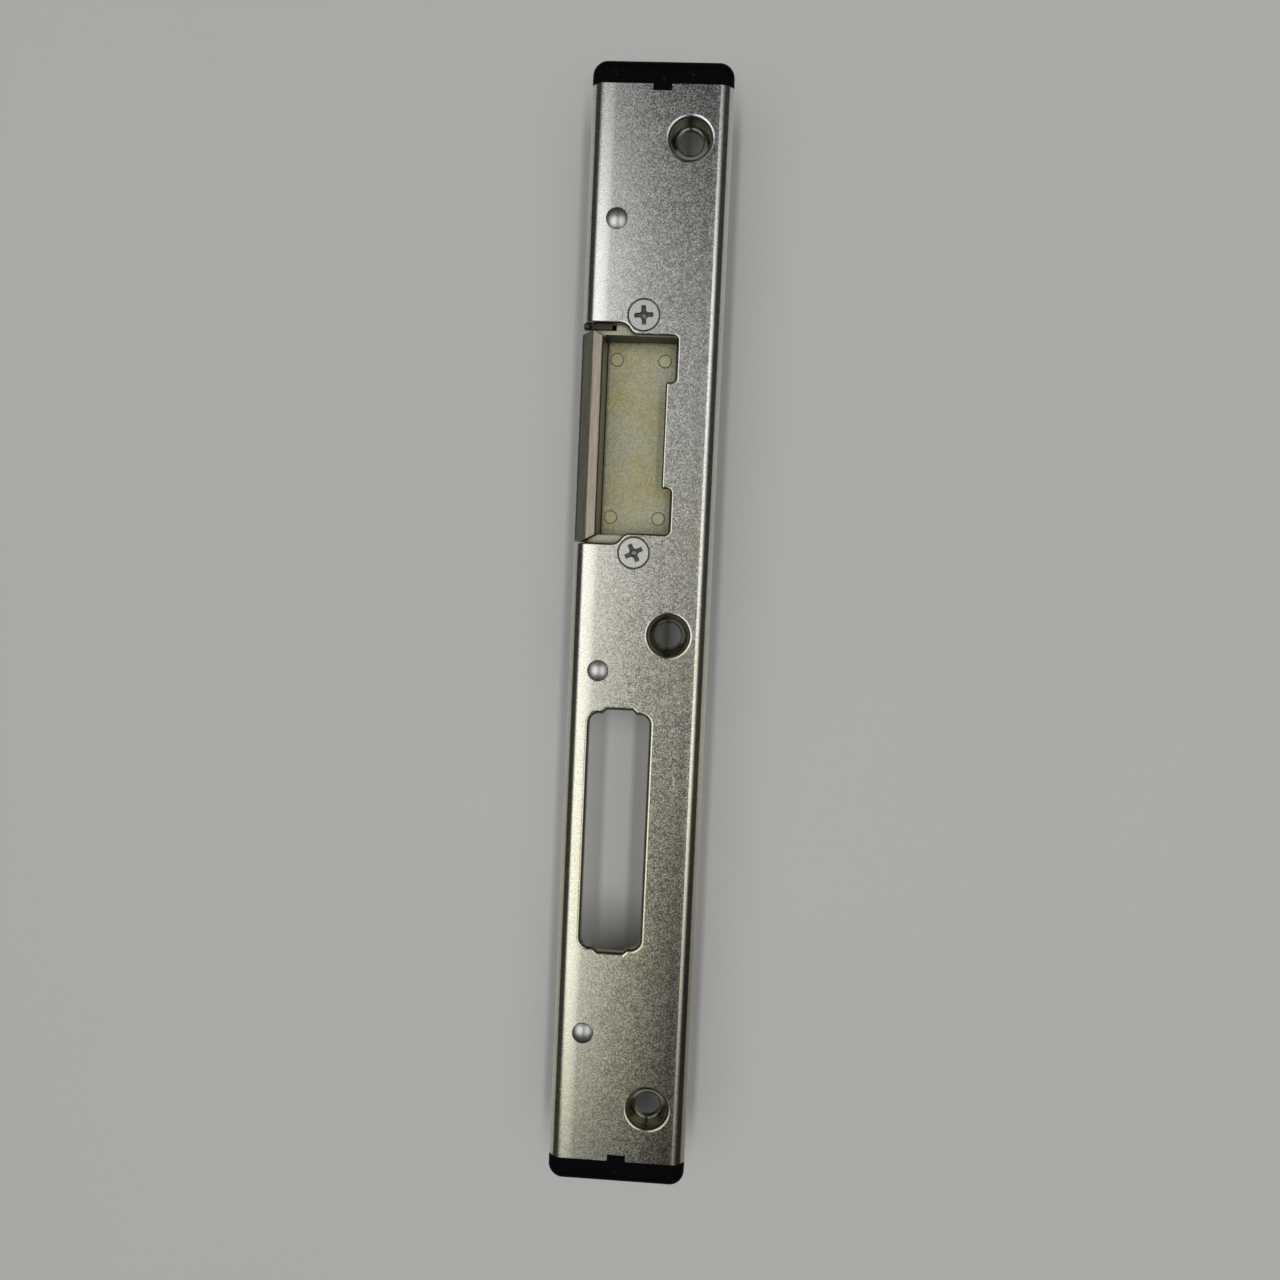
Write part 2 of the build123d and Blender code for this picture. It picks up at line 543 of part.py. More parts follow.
def strike_housing():
    """The die-cast body: latch pocket above, mechanism cavity below, a solid block at each end."""
    body = block(-STRIKE_LEFT, STRIKE_RIGHT, HOUSE_LOW, HOUSE_HIGH, 0, UNDERSIDE)
    body = fillet(body.edges().filter_by(Axis.Z), HOUSE_CORNER)
    # clears the inner radius of the folded side
    bend = (-STRIKE_LEFT - 0.01, HOUSE_LOW, UNDERSIDE - 0.01)
    bend_end = (-STRIKE_LEFT + 0.01, HOUSE_HIGH, UNDERSIDE + 0.01)
    body = chamfer(edges_inside(body, bend, bend_end), BEND_RADIUS - SHEET)
    wide = OPENING_HALF + KEEPER_GAP
    body -= block(NARROW_X, POCKET_RIGHT, STRIKE_CENTRE - wide, STRIKE_CENTRE + wide, FLOOR, UNDERSIDE)
    low = KEEPER_CENTRE - KEEPER_INNER_HALF - KEEPER_GAP / 2
    high = STRIKE_CENTRE + OPENING_HALF + KEEPER_GAP / 2
    body -= block(FLOOR_LEFT, NARROW_X, low, high, FLOOR, UNDERSIDE)
    body += floor_cove(low, -1)
    body -= block(FLOOR_RIGHT, POCKET_RIGHT, low, high, FLOOR - GROOVE_DEPTH, FLOOR)
    body -= keeper_room()
    body -= block(CAVITY_LEFT, CAVITY_RIGHT, CAVITY_LOW, CAVITY_HIGH, COVER_THICKNESS, ROOF)
    # the keeper's barrel and tail reach through into the cavity
    body -= block(FLOOR_LEFT, CAVITY_LEFT, low - KEEPER_GAP, high + KEEPER_GAP, COVER_THICKNESS, ROOF)
    sill_x = -STRIKE_LEFT + SILL_WIDTH
    body -= block(sill_x, CAVITY_LEFT, low - KEEPER_GAP, high + KEEPER_GAP, COVER_THICKNESS, PIVOT_Z)
    body -= cover_recess()
    for x in DISC_X:
        for side in (1, -1):
            y = STRIKE_CENTRE + side * DISC_HALF
            body -= rod_z(x, y, FLOOR - DISC_GROOVE, FLOOR + DISC_HEIGHT, DISC_R + DISC_GROOVE)
            body += rod_z(x, y, FLOOR - DISC_GROOVE, FLOOR + DISC_HEIGHT, DISC_R)
    for y in (RIB_LOW, LEVER_HIGH + SLIDE_GAP):
        rib = block(RIB_LEFT, CAVITY_RIGHT, y, y + RIB_THICKNESS, RIB_BOTTOM, RIB_TOP)
        body += rib
    boss_x, boss_y = COVER_SCREWS[2]
    half = COVER_BOSS_HALF
    boss_top = COVER_SCREW_LENGTH + 1.0
    body += block(boss_x - half, CAVITY_RIGHT, boss_y - half, boss_y + half, COVER_THICKNESS, boss_top)
    body -= rod_y(PIVOT_X, PIVOT_Z, HOUSE_LOW + END_WALL, HOUSE_HIGH - END_WALL, PIVOT_R)
    body -= rod_y(LEVER_X, LEVER_Z, RIB_LOW, LEVER_HIGH + SLIDE_GAP + RIB_THICKNESS, LEVER_PIN_R)
    for side in (1, -1):
        y = STRIKE_CENTRE + side * SCREW_HALF
        foot = FACE - SCREW_RECESS - SCREW_LENGTH
        body -= rod_z(SCREW_X, y, foot, UNDERSIDE, SCREW_SHANK_R)
    for x, y in COVER_SCREWS:
        body -= rod_z(x, y, 0, COVER_SCREW_LENGTH, COVER_SCREW_R)
    body -= release_slot()
    window_top = TERMINAL_TOP + SEAT_GAP
    body -= block(CAVITY_LEFT, CAVITY_RIGHT, CAVITY_HIGH, HOUSE_HIGH, COVER_THICKNESS, window_top)
    return body


def cover_recess():
    """The let-in seat of the back cover."""
    x0 = -STRIKE_LEFT + COVER_INSET
    x1 = STRIKE_RIGHT - COVER_INSET
    return block(x0, x1, HOUSE_LOW + COVER_INSET, HOUSE_HIGH - COVER_INSET, 0, COVER_THICKNESS)


def release_slot():
    """Cutter for the gap that the release lever swings in, with its pin hole."""
    x1 = RELEASE_RIGHT + 0.8
    low = RELEASE_LOW - RELEASE_SLOT_GAP
    high = RELEASE_HIGH + RELEASE_SLOT_GAP
    slot = block(-STRIKE_LEFT - OVERCUT, x1, low, high, RELEASE_PIVOT_Z - RELEASE_SLOT_DEPTH, UNDERSIDE)
    return slot + rod_y(RELEASE_PIVOT_X, RELEASE_PIVOT_Z, *release_pin_span(), RELEASE_PIN_R)


def release_pin_span():
    """Where the release lever's pin starts and ends along Y."""
    return RELEASE_LOW - 0.9, RELEASE_HIGH + 4.0


def back_cover():
    """A flat cover let into the back, with two holes for the screwdriver."""
    x0 = -STRIKE_LEFT + COVER_INSET + SEAT_GAP
    x1 = STRIKE_RIGHT - COVER_INSET - SEAT_GAP
    y0 = HOUSE_LOW + COVER_INSET + SEAT_GAP
    y1 = HOUSE_HIGH - COVER_INSET - SEAT_GAP
    cover = block(x0, x1, y0, y1, 0, COVER_THICKNESS)
    for x in TERMINAL_XS:
        cover -= rod_z(x, terminal_middle(), 0, COVER_THICKNESS, 1.9)
    for x, y in COVER_SCREWS:
        cover -= turned(x, y, cover_screw_outline(SEAT_GAP, -OVERCUT))
    return cover


def cover_screw_outline(gap, low):
    """Half outline of a cover screw from the height low, grown by gap for its hole."""
    head_z = COVER_SCREW_RECESS
    return Polyline(
        (0, 0, low),
        (COVER_HEAD_R + gap, 0, low),
        (COVER_HEAD_R + gap, 0, head_z + 0.05),
        (COVER_SCREW_R + gap, 0, head_z + 0.05 + COVER_HEAD_R - COVER_SCREW_R),
        (COVER_SCREW_R + gap, 0, COVER_SCREW_LENGTH),
        (0, 0, COVER_SCREW_LENGTH),
        close=True,
    )


def cover_screws():
    """Three small countersunk screws with a straight slot."""
    screws = []
    for x, y in COVER_SCREWS:
        screw = turned(x, y, cover_screw_outline(0, COVER_SCREW_RECESS))
        screws.append(screw - block(x - 2, x + 2, y - 0.25, y + 0.25, 0, 0.6))
    return Compound(children=screws)


def keeper():
    """The swinging latch lip on its barrel, with the tail that the locking lever holds."""
    slope_x = -HALF_WIDTH + 0.4
    section = [
        (PIVOT_X - BARREL_R, PIVOT_Z),
        (-HALF_WIDTH, KEEPER_SKIRT_Z),
        (-HALF_WIDTH, KEEPER_TOP - KEEPER_SLOPE_DROP),
        (slope_x, KEEPER_TOP - KEEPER_SLOPE_DROP + KEEPER_EDGE),
        (KEEPER_FLAT_X, KEEPER_TOP),
        (KEEPER_INNER_X - KEEPER_EDGE, KEEPER_TOP),
        (KEEPER_INNER_X, KEEPER_TOP - KEEPER_EDGE),
        (KEEPER_INNER_X, PIVOT_Z),
    ]
    low = KEEPER_CENTRE - KEEPER_HALF
    high = KEEPER_CENTRE + KEEPER_HALF
    lip = prism_y(section, low, high)
    for side in (1, -1):
        outer_y = KEEPER_CENTRE + side * KEEPER_HALF
        inner_y = KEEPER_CENTRE + side * KEEPER_INNER_HALF
        beyond = outer_y + side * OVERCUT
        inner_x = KEEPER_INNER_X + OVERCUT
        tip_y = inner_y - side * MITRE * OVERCUT
        wedge = [(-HALF_WIDTH, outer_y), (inner_x, tip_y), (inner_x, beyond), (-HALF_WIDTH, beyond)]
        lip -= prism_z(wedge, 0, FACE)
    lip -= block(-HALF_WIDTH, KEEPER_INNER_X, low - OVERCUT, KEEPER_LOW_END, 0, FACE)
    lip -= block(-HALF_WIDTH, KEEPER_INNER_X, KEEPER_HIGH_END, high + OVERCUT, 0, FACE)
    crown = [(-HALF_WIDTH, KEEPER_HIGH_END - KEEPER_CROWN_DROP), (KEEPER_FLAT_X, KEEPER_HIGH_END),
             (-HALF_WIDTH, KEEPER_HIGH_END)]
    lip -= prism_z(crown, 0, FACE)
    ends = KEEPER_INNER_HALF - KEEPER_GAP
    barrel_low = KEEPER_CENTRE - ends
    barrel_high = KEEPER_CENTRE + ends
    for y0, y1 in ((low - OVERCUT, barrel_low), (barrel_high, high + OVERCUT)):
        lip -= block(-HALF_WIDTH + 1.8, 0, y0, y1, 0, KEEPER_SKIRT_Z + 0.6)
    body = lip + rod_y(PIVOT_X, PIVOT_Z, barrel_low, barrel_high, BARREL_R)
    tail = [(PIVOT_X, PIVOT_Z + TAIL_BOTTOM), (PIVOT_X + TAIL_REACH, PIVOT_Z + TAIL_BOTTOM),
            (PIVOT_X + TAIL_REACH, PIVOT_Z + TAIL_TOP), (PIVOT_X, PIVOT_Z + TAIL_TOP)]
    body += prism_y(tail, TAIL_CENTRE - TAIL_WIDTH / 2, TAIL_CENTRE + TAIL_WIDTH / 2)
    half = SPRING_SLOT / 2
    room = SPRING_R + SPRING_WIRE_R + SPRING_ROOM
    body -= rod_y(PIVOT_X, PIVOT_Z, SPRING_CENTRE - half, SPRING_CENTRE + half, room)
    return body - rod_y(PIVOT_X, PIVOT_Z, low, high, PIVOT_R + PIN_GAP)


def keeper_pin():
    """The steel pin that the keeper swings on."""
    return rod_y(PIVOT_X, PIVOT_Z, HOUSE_LOW + END_WALL + 0.2, HOUSE_HIGH - END_WALL - 0.2, PIVOT_R)


def coil_spring(radius, wire_r, turns, height):
    """A plain helical spring standing on the origin along Z."""
    pitch = height / turns
    path = Helix(pitch=pitch, height=height, radius=radius)
    start = path @ 0
    section = Plane(origin=start, z_dir=path % 0) * Circle(wire_r)
    return sweep(section, path=path, is_frenet=True)


def keeper_spring():
    """The torsion spring around the keeper pin."""
    height = SPRING_TURNS * (2 * SPRING_WIRE_R + 0.25)
    coil = coil_spring(SPRING_R, SPRING_WIRE_R, SPRING_TURNS, height)
    return Pos(PIVOT_X, SPRING_CENTRE + height / 2, PIVOT_Z) * Rot(90, 0, 0) * coil


def locking_lever():
    """The lever that holds the keeper's tail down."""
    root = LEVER_BARREL_R - 0.2
    section = [
        (LEVER_X + root - 0.2, LEVER_Z),
        (LEVER_X + 0.8, LEVER_Z + 2.0),
        (LEVER_X, LEVER_TOP),
        (LEVER_TIP_X, LEVER_TOP),
        (LEVER_TIP_X, LEVER_UNDERSIDE),
        (LEVER_X - root, LEVER_UNDERSIDE),
        (LEVER_X - root, LEVER_Z),
    ]
    lever = prism_y(section, LEVER_LOW, LEVER_HIGH)
    lever += rod_y(LEVER_X, LEVER_Z, LEVER_LOW, LEVER_HIGH, LEVER_BARREL_R)
    edge = edges_inside(
        lever,
        (LEVER_TIP_X - 0.01, LEVER_LOW - 0.01, LEVER_TOP - 0.01),
        (LEVER_X + 0.01, LEVER_LOW + 0.01, LEVER_TOP + 0.01),
    )
    lever = chamfer(edge, LEVER_BEVEL)
    return lever - rod_y(LEVER_X, LEVER_Z, LEVER_LOW, LEVER_HIGH, LEVER_PIN_R + PIN_GAP)


def locking_lever_pin():
    """The pin of the locking lever, held in two ribs of the housing."""
    return rod_y(LEVER_X, LEVER_Z, RIB_LOW, LEVER_HIGH + SLIDE_GAP + RIB_THICKNESS, LEVER_PIN_R)


def locking_lever_spring():
    """The compression spring between the cavity's roof and the lever."""
    wire = 0.2
    height = ROOF - LEVER_TOP - 2 * wire - 0.1
    coil = coil_spring(1.5, wire, 5, height)
    return Pos(LEVER_SPRING_X, TAIL_CENTRE, LEVER_TOP + wire + 0.05) * coil


def armature():
    """The hinged soft-iron plate, with a finger over the locking lever."""
    x0 = COIL_X - ARMATURE_HALF
    x1 = COIL_X + ARMATURE_HALF
    plate = block(x0, x1, ARMATURE_LOW, ARMATURE_HIGH, ARMATURE_Z, ARMATURE_TOP)
    plate += rod_x(ARMATURE_Y, ARMATURE_Z, x0, x1, ARMATURE_BARREL_R)
    low = LEVER_TOP + SLIDE_GAP
    tip = LEVER_LOW + FINGER_OVERLAP
    finger = [(ARMATURE_LOW, low), (tip - 0.4, low), (tip, low + 0.4), (tip, low + FINGER_THICKNESS),
              (ARMATURE_LOW, low + FINGER_THICKNESS)]
    plate += prism_x(finger, *FINGER_X)
    return plate - rod_x(ARMATURE_Y, ARMATURE_Z, x0, x1, ARMATURE_PIN_R + PIN_GAP)


def armature_pin():
    """The pin of the armature, held in the yoke's ears."""
    return rod_x(ARMATURE_Y, ARMATURE_Z, COIL_X - YOKE_HALF, COIL_X + YOKE_HALF, ARMATURE_PIN_R)


def armature_spring():
    """A thin leaf that pushes the armature off the coil core."""
    leaf = 0.25
    x0 = COIL_X - ARMATURE_HALF + 0.4
    y0 = ARMATURE_HIGH + SLIDE_GAP
    y1 = y0 + 2.4
    strip = block(x0, x0 + 2.2, y0, y0 + leaf, ARMATURE_TOP - 3.6, ROOF)
    return strip + block(x0, x0 + 2.2, y0, y1, ROOF - leaf, ROOF)


def solenoid_yoke():
    """The folded iron bracket behind and under the coil, with an ear on each side for the armature pin."""
    x0 = COIL_X - YOKE_HALF
    x1 = COIL_X + YOKE_HALF
    bottom = COVER_THICKNESS + 0.2
    yoke = block(x0, x1, YOKE_LOW, BOBBIN_HIGH, bottom, bottom + YOKE_THICKNESS)
    yoke += block(x0, x1, YOKE_LOW, YOKE_LOW + YOKE_THICKNESS, bottom, ROOF - 0.3)
    for xs in ((x0, x0 + YOKE_THICKNESS), (x1 - YOKE_THICKNESS, x1)):
        yoke += block(*xs, BOBBIN_HIGH - 3.0, ARMATURE_HIGH + 0.4, bottom, ARMATURE_Z + 1.6)
    yoke -= rod_y(COIL_X, COIL_Z, YOKE_LOW, YOKE_LOW + YOKE_THICKNESS, CORE_R)
    return yoke - rod_x(ARMATURE_Y, ARMATURE_Z, x0, x1, ARMATURE_PIN_R)


def solenoid_core():
    """The iron core of the coil."""
    return rod_y(COIL_X, COIL_Z, YOKE_LOW, CORE_HIGH, CORE_R)


def coil_bobbin():
    """The moulded bobbin, two flanges on a tube."""
    bobbin = rod_y(COIL_X, COIL_Z, BOBBIN_LOW, BOBBIN_HIGH, TUBE_R)
    bobbin += rod_y(COIL_X, COIL_Z, BOBBIN_LOW, BOBBIN_LOW + FLANGE_THICKNESS, FLANGE_R)
    bobbin += rod_y(COIL_X, COIL_Z, BOBBIN_HIGH - FLANGE_THICKNESS, BOBBIN_HIGH, FLANGE_R)
    return bobbin - rod_y(COIL_X, COIL_Z, BOBBIN_LOW, BOBBIN_HIGH, CORE_R + SEAT_GAP)


def coil_winding():
    """The wound copper between the flanges."""
    low = BOBBIN_LOW + FLANGE_THICKNESS
    high = BOBBIN_HIGH - FLANGE_THICKNESS
    winding = rod_y(COIL_X, COIL_Z, low, high, WINDING_R)
    return winding - rod_y(COIL_X, COIL_Z, low, high, TUBE_R)


def coil_leads():
    """Two insulated leads from the bobbin to the terminal block."""
    leads = []
    for x in LEAD_XS:
        path = FilletPolyline(
            (x, BOBBIN_HIGH, LEAD_Z),
            (x, TERMINAL_LOW - 5.0, LEAD_Z),
            (x, TERMINAL_LOW - 2.5, LEAD_LOW_Z),
            (x, TERMINAL_LOW, LEAD_LOW_Z),
            radius=2.0,
        )
        section = Plane(origin=path @ 0, z_dir=path % 0) * Circle(LEAD_R)
        leads.append(sweep(section, path=path))
    return Compound(children=leads)


# ---------------------------------------------------------------- terminals

def terminal_middle():
    """Where the clamp screws stand along Y."""
    return HOUSE_HIGH - TERMINAL_LENGTH / 2


def clamp_box(x, gap):
    """The room of one clamp, grown by gap."""
    half = CLAMP_SIZE / 2 + gap
    y = terminal_middle()
    low = TERMINAL_TOP / 2 - 1.0
    return block(x - half, x + half, y - half, y + half, low - gap, low + CLAMP_SIZE + gap)


def wire_z():
    """Height of the wire entries."""
    return TERMINAL_TOP / 2 - 1.0 + CLAMP_SIZE / 2 + 0.6


def terminal_block():
    """The moulded block in the end window, with two wire entries."""
    x0 = CAVITY_LEFT + 2 * SEAT_GAP
    x1 = CAVITY_RIGHT - 2 * SEAT_GAP
    body = block(x0, x1, TERMINAL_LOW, HOUSE_HIGH, COVER_THICKNESS + 0.1, TERMINAL_TOP)
    for x in TERMINAL_XS:
        body -= clamp_box(x, SEAT_GAP)
        body -= rod_y(x, wire_z(), terminal_middle(), HOUSE_HIGH, WIRE_HOLE_R + 0.3)
        body -= rod_z(x, terminal_middle(), 0, TERMINAL_TOP / 2, TERMINAL_SCREW_R + 0.3)
    return body


def terminal_clamps():
    """Two brass clamps."""
    clamps = []
    for x in TERMINAL_XS:
        clamp = clamp_box(x, 0) - rod_y(x, wire_z(), 0, HOUSE_HIGH, WIRE_HOLE_R)
        clamps.append(clamp - rod_z(x, terminal_middle(), 0, wire_z(), TERMINAL_SCREW_R))
    return Compound(children=clamps)


def terminal_screws():
    """Two slotted clamp screws, reached from the back."""
    screws = []
    y = terminal_middle()
    low = COVER_THICKNESS + 0.6
    for x in TERMINAL_XS:
        screw = rod_z(x, y, low, wire_z() - WIRE_HOLE_R + 0.4, TERMINAL_SCREW_R)
        screws.append(screw - block(x - 2, x + 2, y - 0.25, y + 0.25, low, low + 0.7))
    return Compound(children=screws)


# ---------------------------------------------------------------- release lever

def release_lever():
    """The hold-open lever: a square knob on a flat arm."""
    arm = [
        (RELEASE_KNOB_RIGHT, RELEASE_TOP - 1.4),
        (RELEASE_KNOB_RIGHT, RELEASE_TOP),
        (RELEASE_RIGHT, RELEASE_TOP),
        (RELEASE_RIGHT, RELEASE_PIVOT_Z - 1.1),
        (RELEASE_PIVOT_X - 1.3, RELEASE_PIVOT_Z - 1.1),
        (RELEASE_PIVOT_X - 1.3, RELEASE_TOP - 1.4),
    ]
    lever = prism_y(arm, RELEASE_LOW, RELEASE_HIGH)
    knob = block(RELEASE_KNOB_LEFT, RELEASE_KNOB_RIGHT, RELEASE_LOW, RELEASE_HIGH, RELEASE_TOP - 1.9,
                 RELEASE_TOP + 0.6)
    knob = chamfer(knob.edges().group_by(Axis.Z)[-1], 0.15)
    lever += knob
    pin_hole = rod_y(RELEASE_PIVOT_X, RELEASE_PIVOT_Z, RELEASE_LOW, RELEASE_HIGH, RELEASE_PIN_R + PIN_GAP)
    return lever - pin_hole


def release_lever_pin():
    """The pin of the release lever, pressed into the housing."""
    return rod_y(RELEASE_PIVOT_X, RELEASE_PIVOT_Z, *release_pin_span(), RELEASE_PIN_R)


def main():
    """Builds every piece and writes one file for each."""
    parts = {
        "faceplate": faceplate(),
        "end_cap_upper": end_cap(1),
        "end_cap_lower": end_cap(-1),
        "support_stud_upper": support_stud(STUD_YS[0]),
        "support_stud_middle": support_stud(STUD_YS[1]),
        "support_stud_lower": support_stud(STUD_YS[2]),
        "strike_screw_upper": strike_screw(1, UPPER_CROSS_TURN),
        "strike_screw_lower": strike_screw(-1, LOWER_CROSS_TURN),
        "strike_housing": strike_housing(),
        "back_cover": back_cover(),
        "cover_screws": cover_screws(),
        "keeper": keeper(),
        "keeper_pin": keeper_pin(),
        "keeper_spring": keeper_spring(),
        "locking_lever": locking_lever(),
        "locking_lever_pin": locking_lever_pin(),
        "locking_lever_spring": locking_lever_spring(),
        "armature": armature(),
        "armature_pin": armature_pin(),
        "armature_spring": armature_spring(),
        "solenoid_yoke": solenoid_yoke(),
        "solenoid_core": solenoid_core(),
        "coil_bobbin": coil_bobbin(),
        "coil_winding": coil_winding(),
        "coil_leads": coil_leads(),
        "terminal_block": terminal_block(),
        "terminal_clamps": terminal_clamps(),
        "terminal_screws": terminal_screws(),
        "release_lever": release_lever(),
        "release_lever_pin": release_lever_pin(),
    }
    os.makedirs("parts", exist_ok=True)
    for name, part in parts.items():
        export_step(part, f"parts/{name}.step")


main()
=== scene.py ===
"""Looks of an electric door strike on a long strike plate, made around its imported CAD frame.

Places are in metres, in the frame's own axes: X runs across the plate, Y along it and Z out of its face.
"""

import json
import logging
import math
from dataclasses import dataclass, field, replace
from enum import Enum
from typing import Any

import bmesh
import bpy
from mathutils import Euler, Matrix, Vector

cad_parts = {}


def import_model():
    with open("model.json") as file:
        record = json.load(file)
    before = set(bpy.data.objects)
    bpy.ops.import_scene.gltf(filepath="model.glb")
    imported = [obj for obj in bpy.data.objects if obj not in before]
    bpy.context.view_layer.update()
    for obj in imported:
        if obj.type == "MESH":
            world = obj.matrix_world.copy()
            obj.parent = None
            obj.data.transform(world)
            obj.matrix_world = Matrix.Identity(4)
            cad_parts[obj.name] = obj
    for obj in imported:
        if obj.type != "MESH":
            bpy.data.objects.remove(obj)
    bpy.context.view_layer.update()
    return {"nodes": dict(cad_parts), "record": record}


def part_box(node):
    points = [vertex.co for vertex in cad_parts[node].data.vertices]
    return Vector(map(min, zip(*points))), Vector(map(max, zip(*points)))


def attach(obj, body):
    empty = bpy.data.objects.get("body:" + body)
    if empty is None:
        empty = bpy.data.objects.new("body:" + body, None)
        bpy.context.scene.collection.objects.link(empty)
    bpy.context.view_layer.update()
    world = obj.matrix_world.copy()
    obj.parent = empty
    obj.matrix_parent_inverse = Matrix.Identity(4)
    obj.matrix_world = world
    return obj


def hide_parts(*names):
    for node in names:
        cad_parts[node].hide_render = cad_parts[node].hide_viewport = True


LOG = logging.getLogger("strike")
MM = 0.001

Colour = tuple[float, float, float, float]
Reach = tuple[float, float, float]
Socket = bpy.types.NodeSocket

FLOOR_DEPTH = 11 * MM  # plate face to the pocket floor

class Body(Enum):
    """The rigid body that added pieces ride on."""

    FRAME = "frame"


class Blend(Enum):
    """How two colours are mixed."""

    MIX = "MIX"
    MULTIPLY = "MULTIPLY"


def rgb(red: float, green: float, blue: float) -> Colour:
    """A linear colour with full alpha."""
    return (red, green, blue, 1.0)


# ---------------------------------------------------------------- shader nets


class Net:
    """A node tree with short calls for adding and joining nodes."""

    def __init__(self, tree: bpy.types.NodeTree) -> None:
        """Takes over an empty tree.

        Args:
            tree: the node tree of a material, a world or a group.
        """
        self.tree = tree
        self.column = 0

    def add(self, kind: str, inputs: dict[str | int, Any] | None = None, **settings: Any) -> bpy.types.Node:
        """Adds one node.

        Args:
            kind: the node's type.
            inputs: values or sockets for the node's inputs, by name or place.
            settings: properties of the node.

        Returns:
            The new node.
        """
        node = self.tree.nodes.new(kind)
        node.location = (self.column * 180, -120 * (self.column % 4))
        self.column += 1
        for name, value in settings.items():
            setattr(node, name, value)
        for key, value in (inputs or {}).items():
            self.put(node.inputs[key], value)
        return node

    def put(self, socket: Socket, value: Any) -> None:
        """Joins a socket to another one, or sets its own value.

        Args:
            socket: the input to fill.
            value: a socket to join it to, or the value to set on it.
        """
        if isinstance(value, bpy.types.NodeSocket):
            self.tree.links.new(value, socket)
        else:
            socket.default_value = value

    def math(self, operation: str, first: Any, second: Any = 0.0, clamp: bool = False) -> Socket:
        """One sum.

        Args:
            operation: the name of Blender's operation.
            first: a number or a socket.
            second: a number or a socket.
            clamp: whether the answer is held between 0 and 1.

        Returns:
            The socket with the answer.
        """
        node = self.add("ShaderNodeMath", {0: first, 1: second}, operation=operation, use_clamp=clamp)
        return node.outputs[0]

    def mix(self, factor: Any, first: Any, second: Any, blend: Blend = Blend.MIX) -> Socket:
        """Mixes two colours.

        Args:
            factor: the share of the second colour.
            first: a colour or a socket.
            second: a colour or a socket.
            blend: how they are mixed.

        Returns:
            The socket with the mixed colour.
        """
        node = self.add("ShaderNodeMix", data_type="RGBA", blend_type=blend.value)
        self.put(node.inputs[0], factor)
        self.put(node.inputs[6], first)
        self.put(node.inputs[7], second)
        return node.outputs[2]

    def span(self, value: Any, low: float, high: float, to_low: float = 0.0, to_high: float = 1.0) -> Socket:
        """Maps a span of values smoothly to another one, held at both ends.

        Args:
            value: a number or a socket.
            low: the value that gives to_low.
            high: the value that gives to_high.
            to_low: the answer at low.
            to_high: the answer at high.

        Returns:
            The socket with the answer.
        """
        inputs = {"Value": value, 1: low, 2: high, 3: to_low, 4: to_high}
        node = self.add("ShaderNodeMapRange", inputs, interpolation_type="SMOOTHSTEP")
        return node.outputs[0]

    def noise(self, vector: Socket, scale: float | Socket, detail: float = 2.0, rough: float = 0.5) -> Socket:
        """Plain noise between 0 and 1.

        Args:
            vector: the point.
            scale: how many lumps fit in a metre.
            detail: how many finer layers are added.
            rough: the strength of the finer layers.

        Returns:
            The socket with the noise.
        """
        inputs = {"Vector": vector, "Scale": scale, "Detail": detail, "Roughness": rough}
        return self.add("ShaderNodeTexNoise", inputs).outputs[0]

    def shade(self, colour: Any, value: Socket) -> Socket:
        """Darkens or lightens a colour by one factor for all its channels.

        Args:
            colour: a colour or a socket.
            value: the factor.

        Returns:
            The shaded colour.
        """
        grey = self.add("ShaderNodeCombineColor", {0: value, 1: value, 2: value}).outputs[0]
        return self.mix(1.0, colour, grey, Blend.MULTIPLY)

    def warped(self, vector: Socket, scale: Socket, reach: Reach, detail: float) -> Socket:
        """Shifts a point by soft noise.

        Args:
            vector: the point.
            scale: the noise's scale.
            reach: how far it shifts along each axis.
            detail: how many finer layers the noise has.

        Returns:
            The shifted point.
        """
        soft = self.add("ShaderNodeTexNoise", {"Vector": vector, "Scale": scale, "Detail": detail})
        shift = self.add("ShaderNodeVectorMath", {0: soft.outputs[1], 1: reach}, operation="MULTIPLY")
        moved = self.add("ShaderNodeVectorMath", {0: vector, 1: shift.outputs[0]}, operation="ADD")
        return moved.outputs[0]

    def place(self) -> Socket:
        """The point on the piece, in its own frame."""
        return self.add("ShaderNodeTexCoord").outputs["Object"]

    def effect(self, effect: "Effect", **inputs: Any) -> bpy.types.Node:
        """Places a shared effect in this net.

        Args:
            effect: the effect.
            inputs: values or sockets for its named inputs, with _ for a space.

        Returns:
            The group node.
        """
        node = self.add("ShaderNodeGroup")
        node.node_tree = effect.group()
        for name, value in inputs.items():
            self.put(node.inputs[name.replace("_", " ")], value)
        return node


class Effect:
    """A shader node group with named inputs and outputs, built once and shared."""

    title = "effect"
    inputs: dict[str, tuple[str, Any]] = {}
    outputs: dict[str, str] = {}

    def group(self) -> bpy.types.NodeTree:
        """The shared group, built when it is first asked for.

        Returns:
            The node group.
        """
        known = bpy.data.node_groups.get(self.title)
        if known is not None:
            return known
        tree = bpy.data.node_groups.new(self.title, "ShaderNodeTree")
        for name, (kind, value) in self.inputs.items():
            socket = tree.interface.new_socket(name=name, in_out="INPUT", socket_type=kind)
            if value is not None:
                socket.default_value = value
        for name, kind in self.outputs.items():
            tree.interface.new_socket(name=name, in_out="OUTPUT", socket_type=kind)
        net = Net(tree)
        source = net.add("NodeGroupInput")
        sink = net.add("NodeGroupOutput")
        for name, socket in self.wire(net, source.outputs).items():
            net.put(sink.inputs[name], socket)
        return tree

    def wire(self, net: Net, source: Any) -> dict[str, Socket]:
        """Builds the inside of the group; each effect has its own."""
        raise NotImplementedError


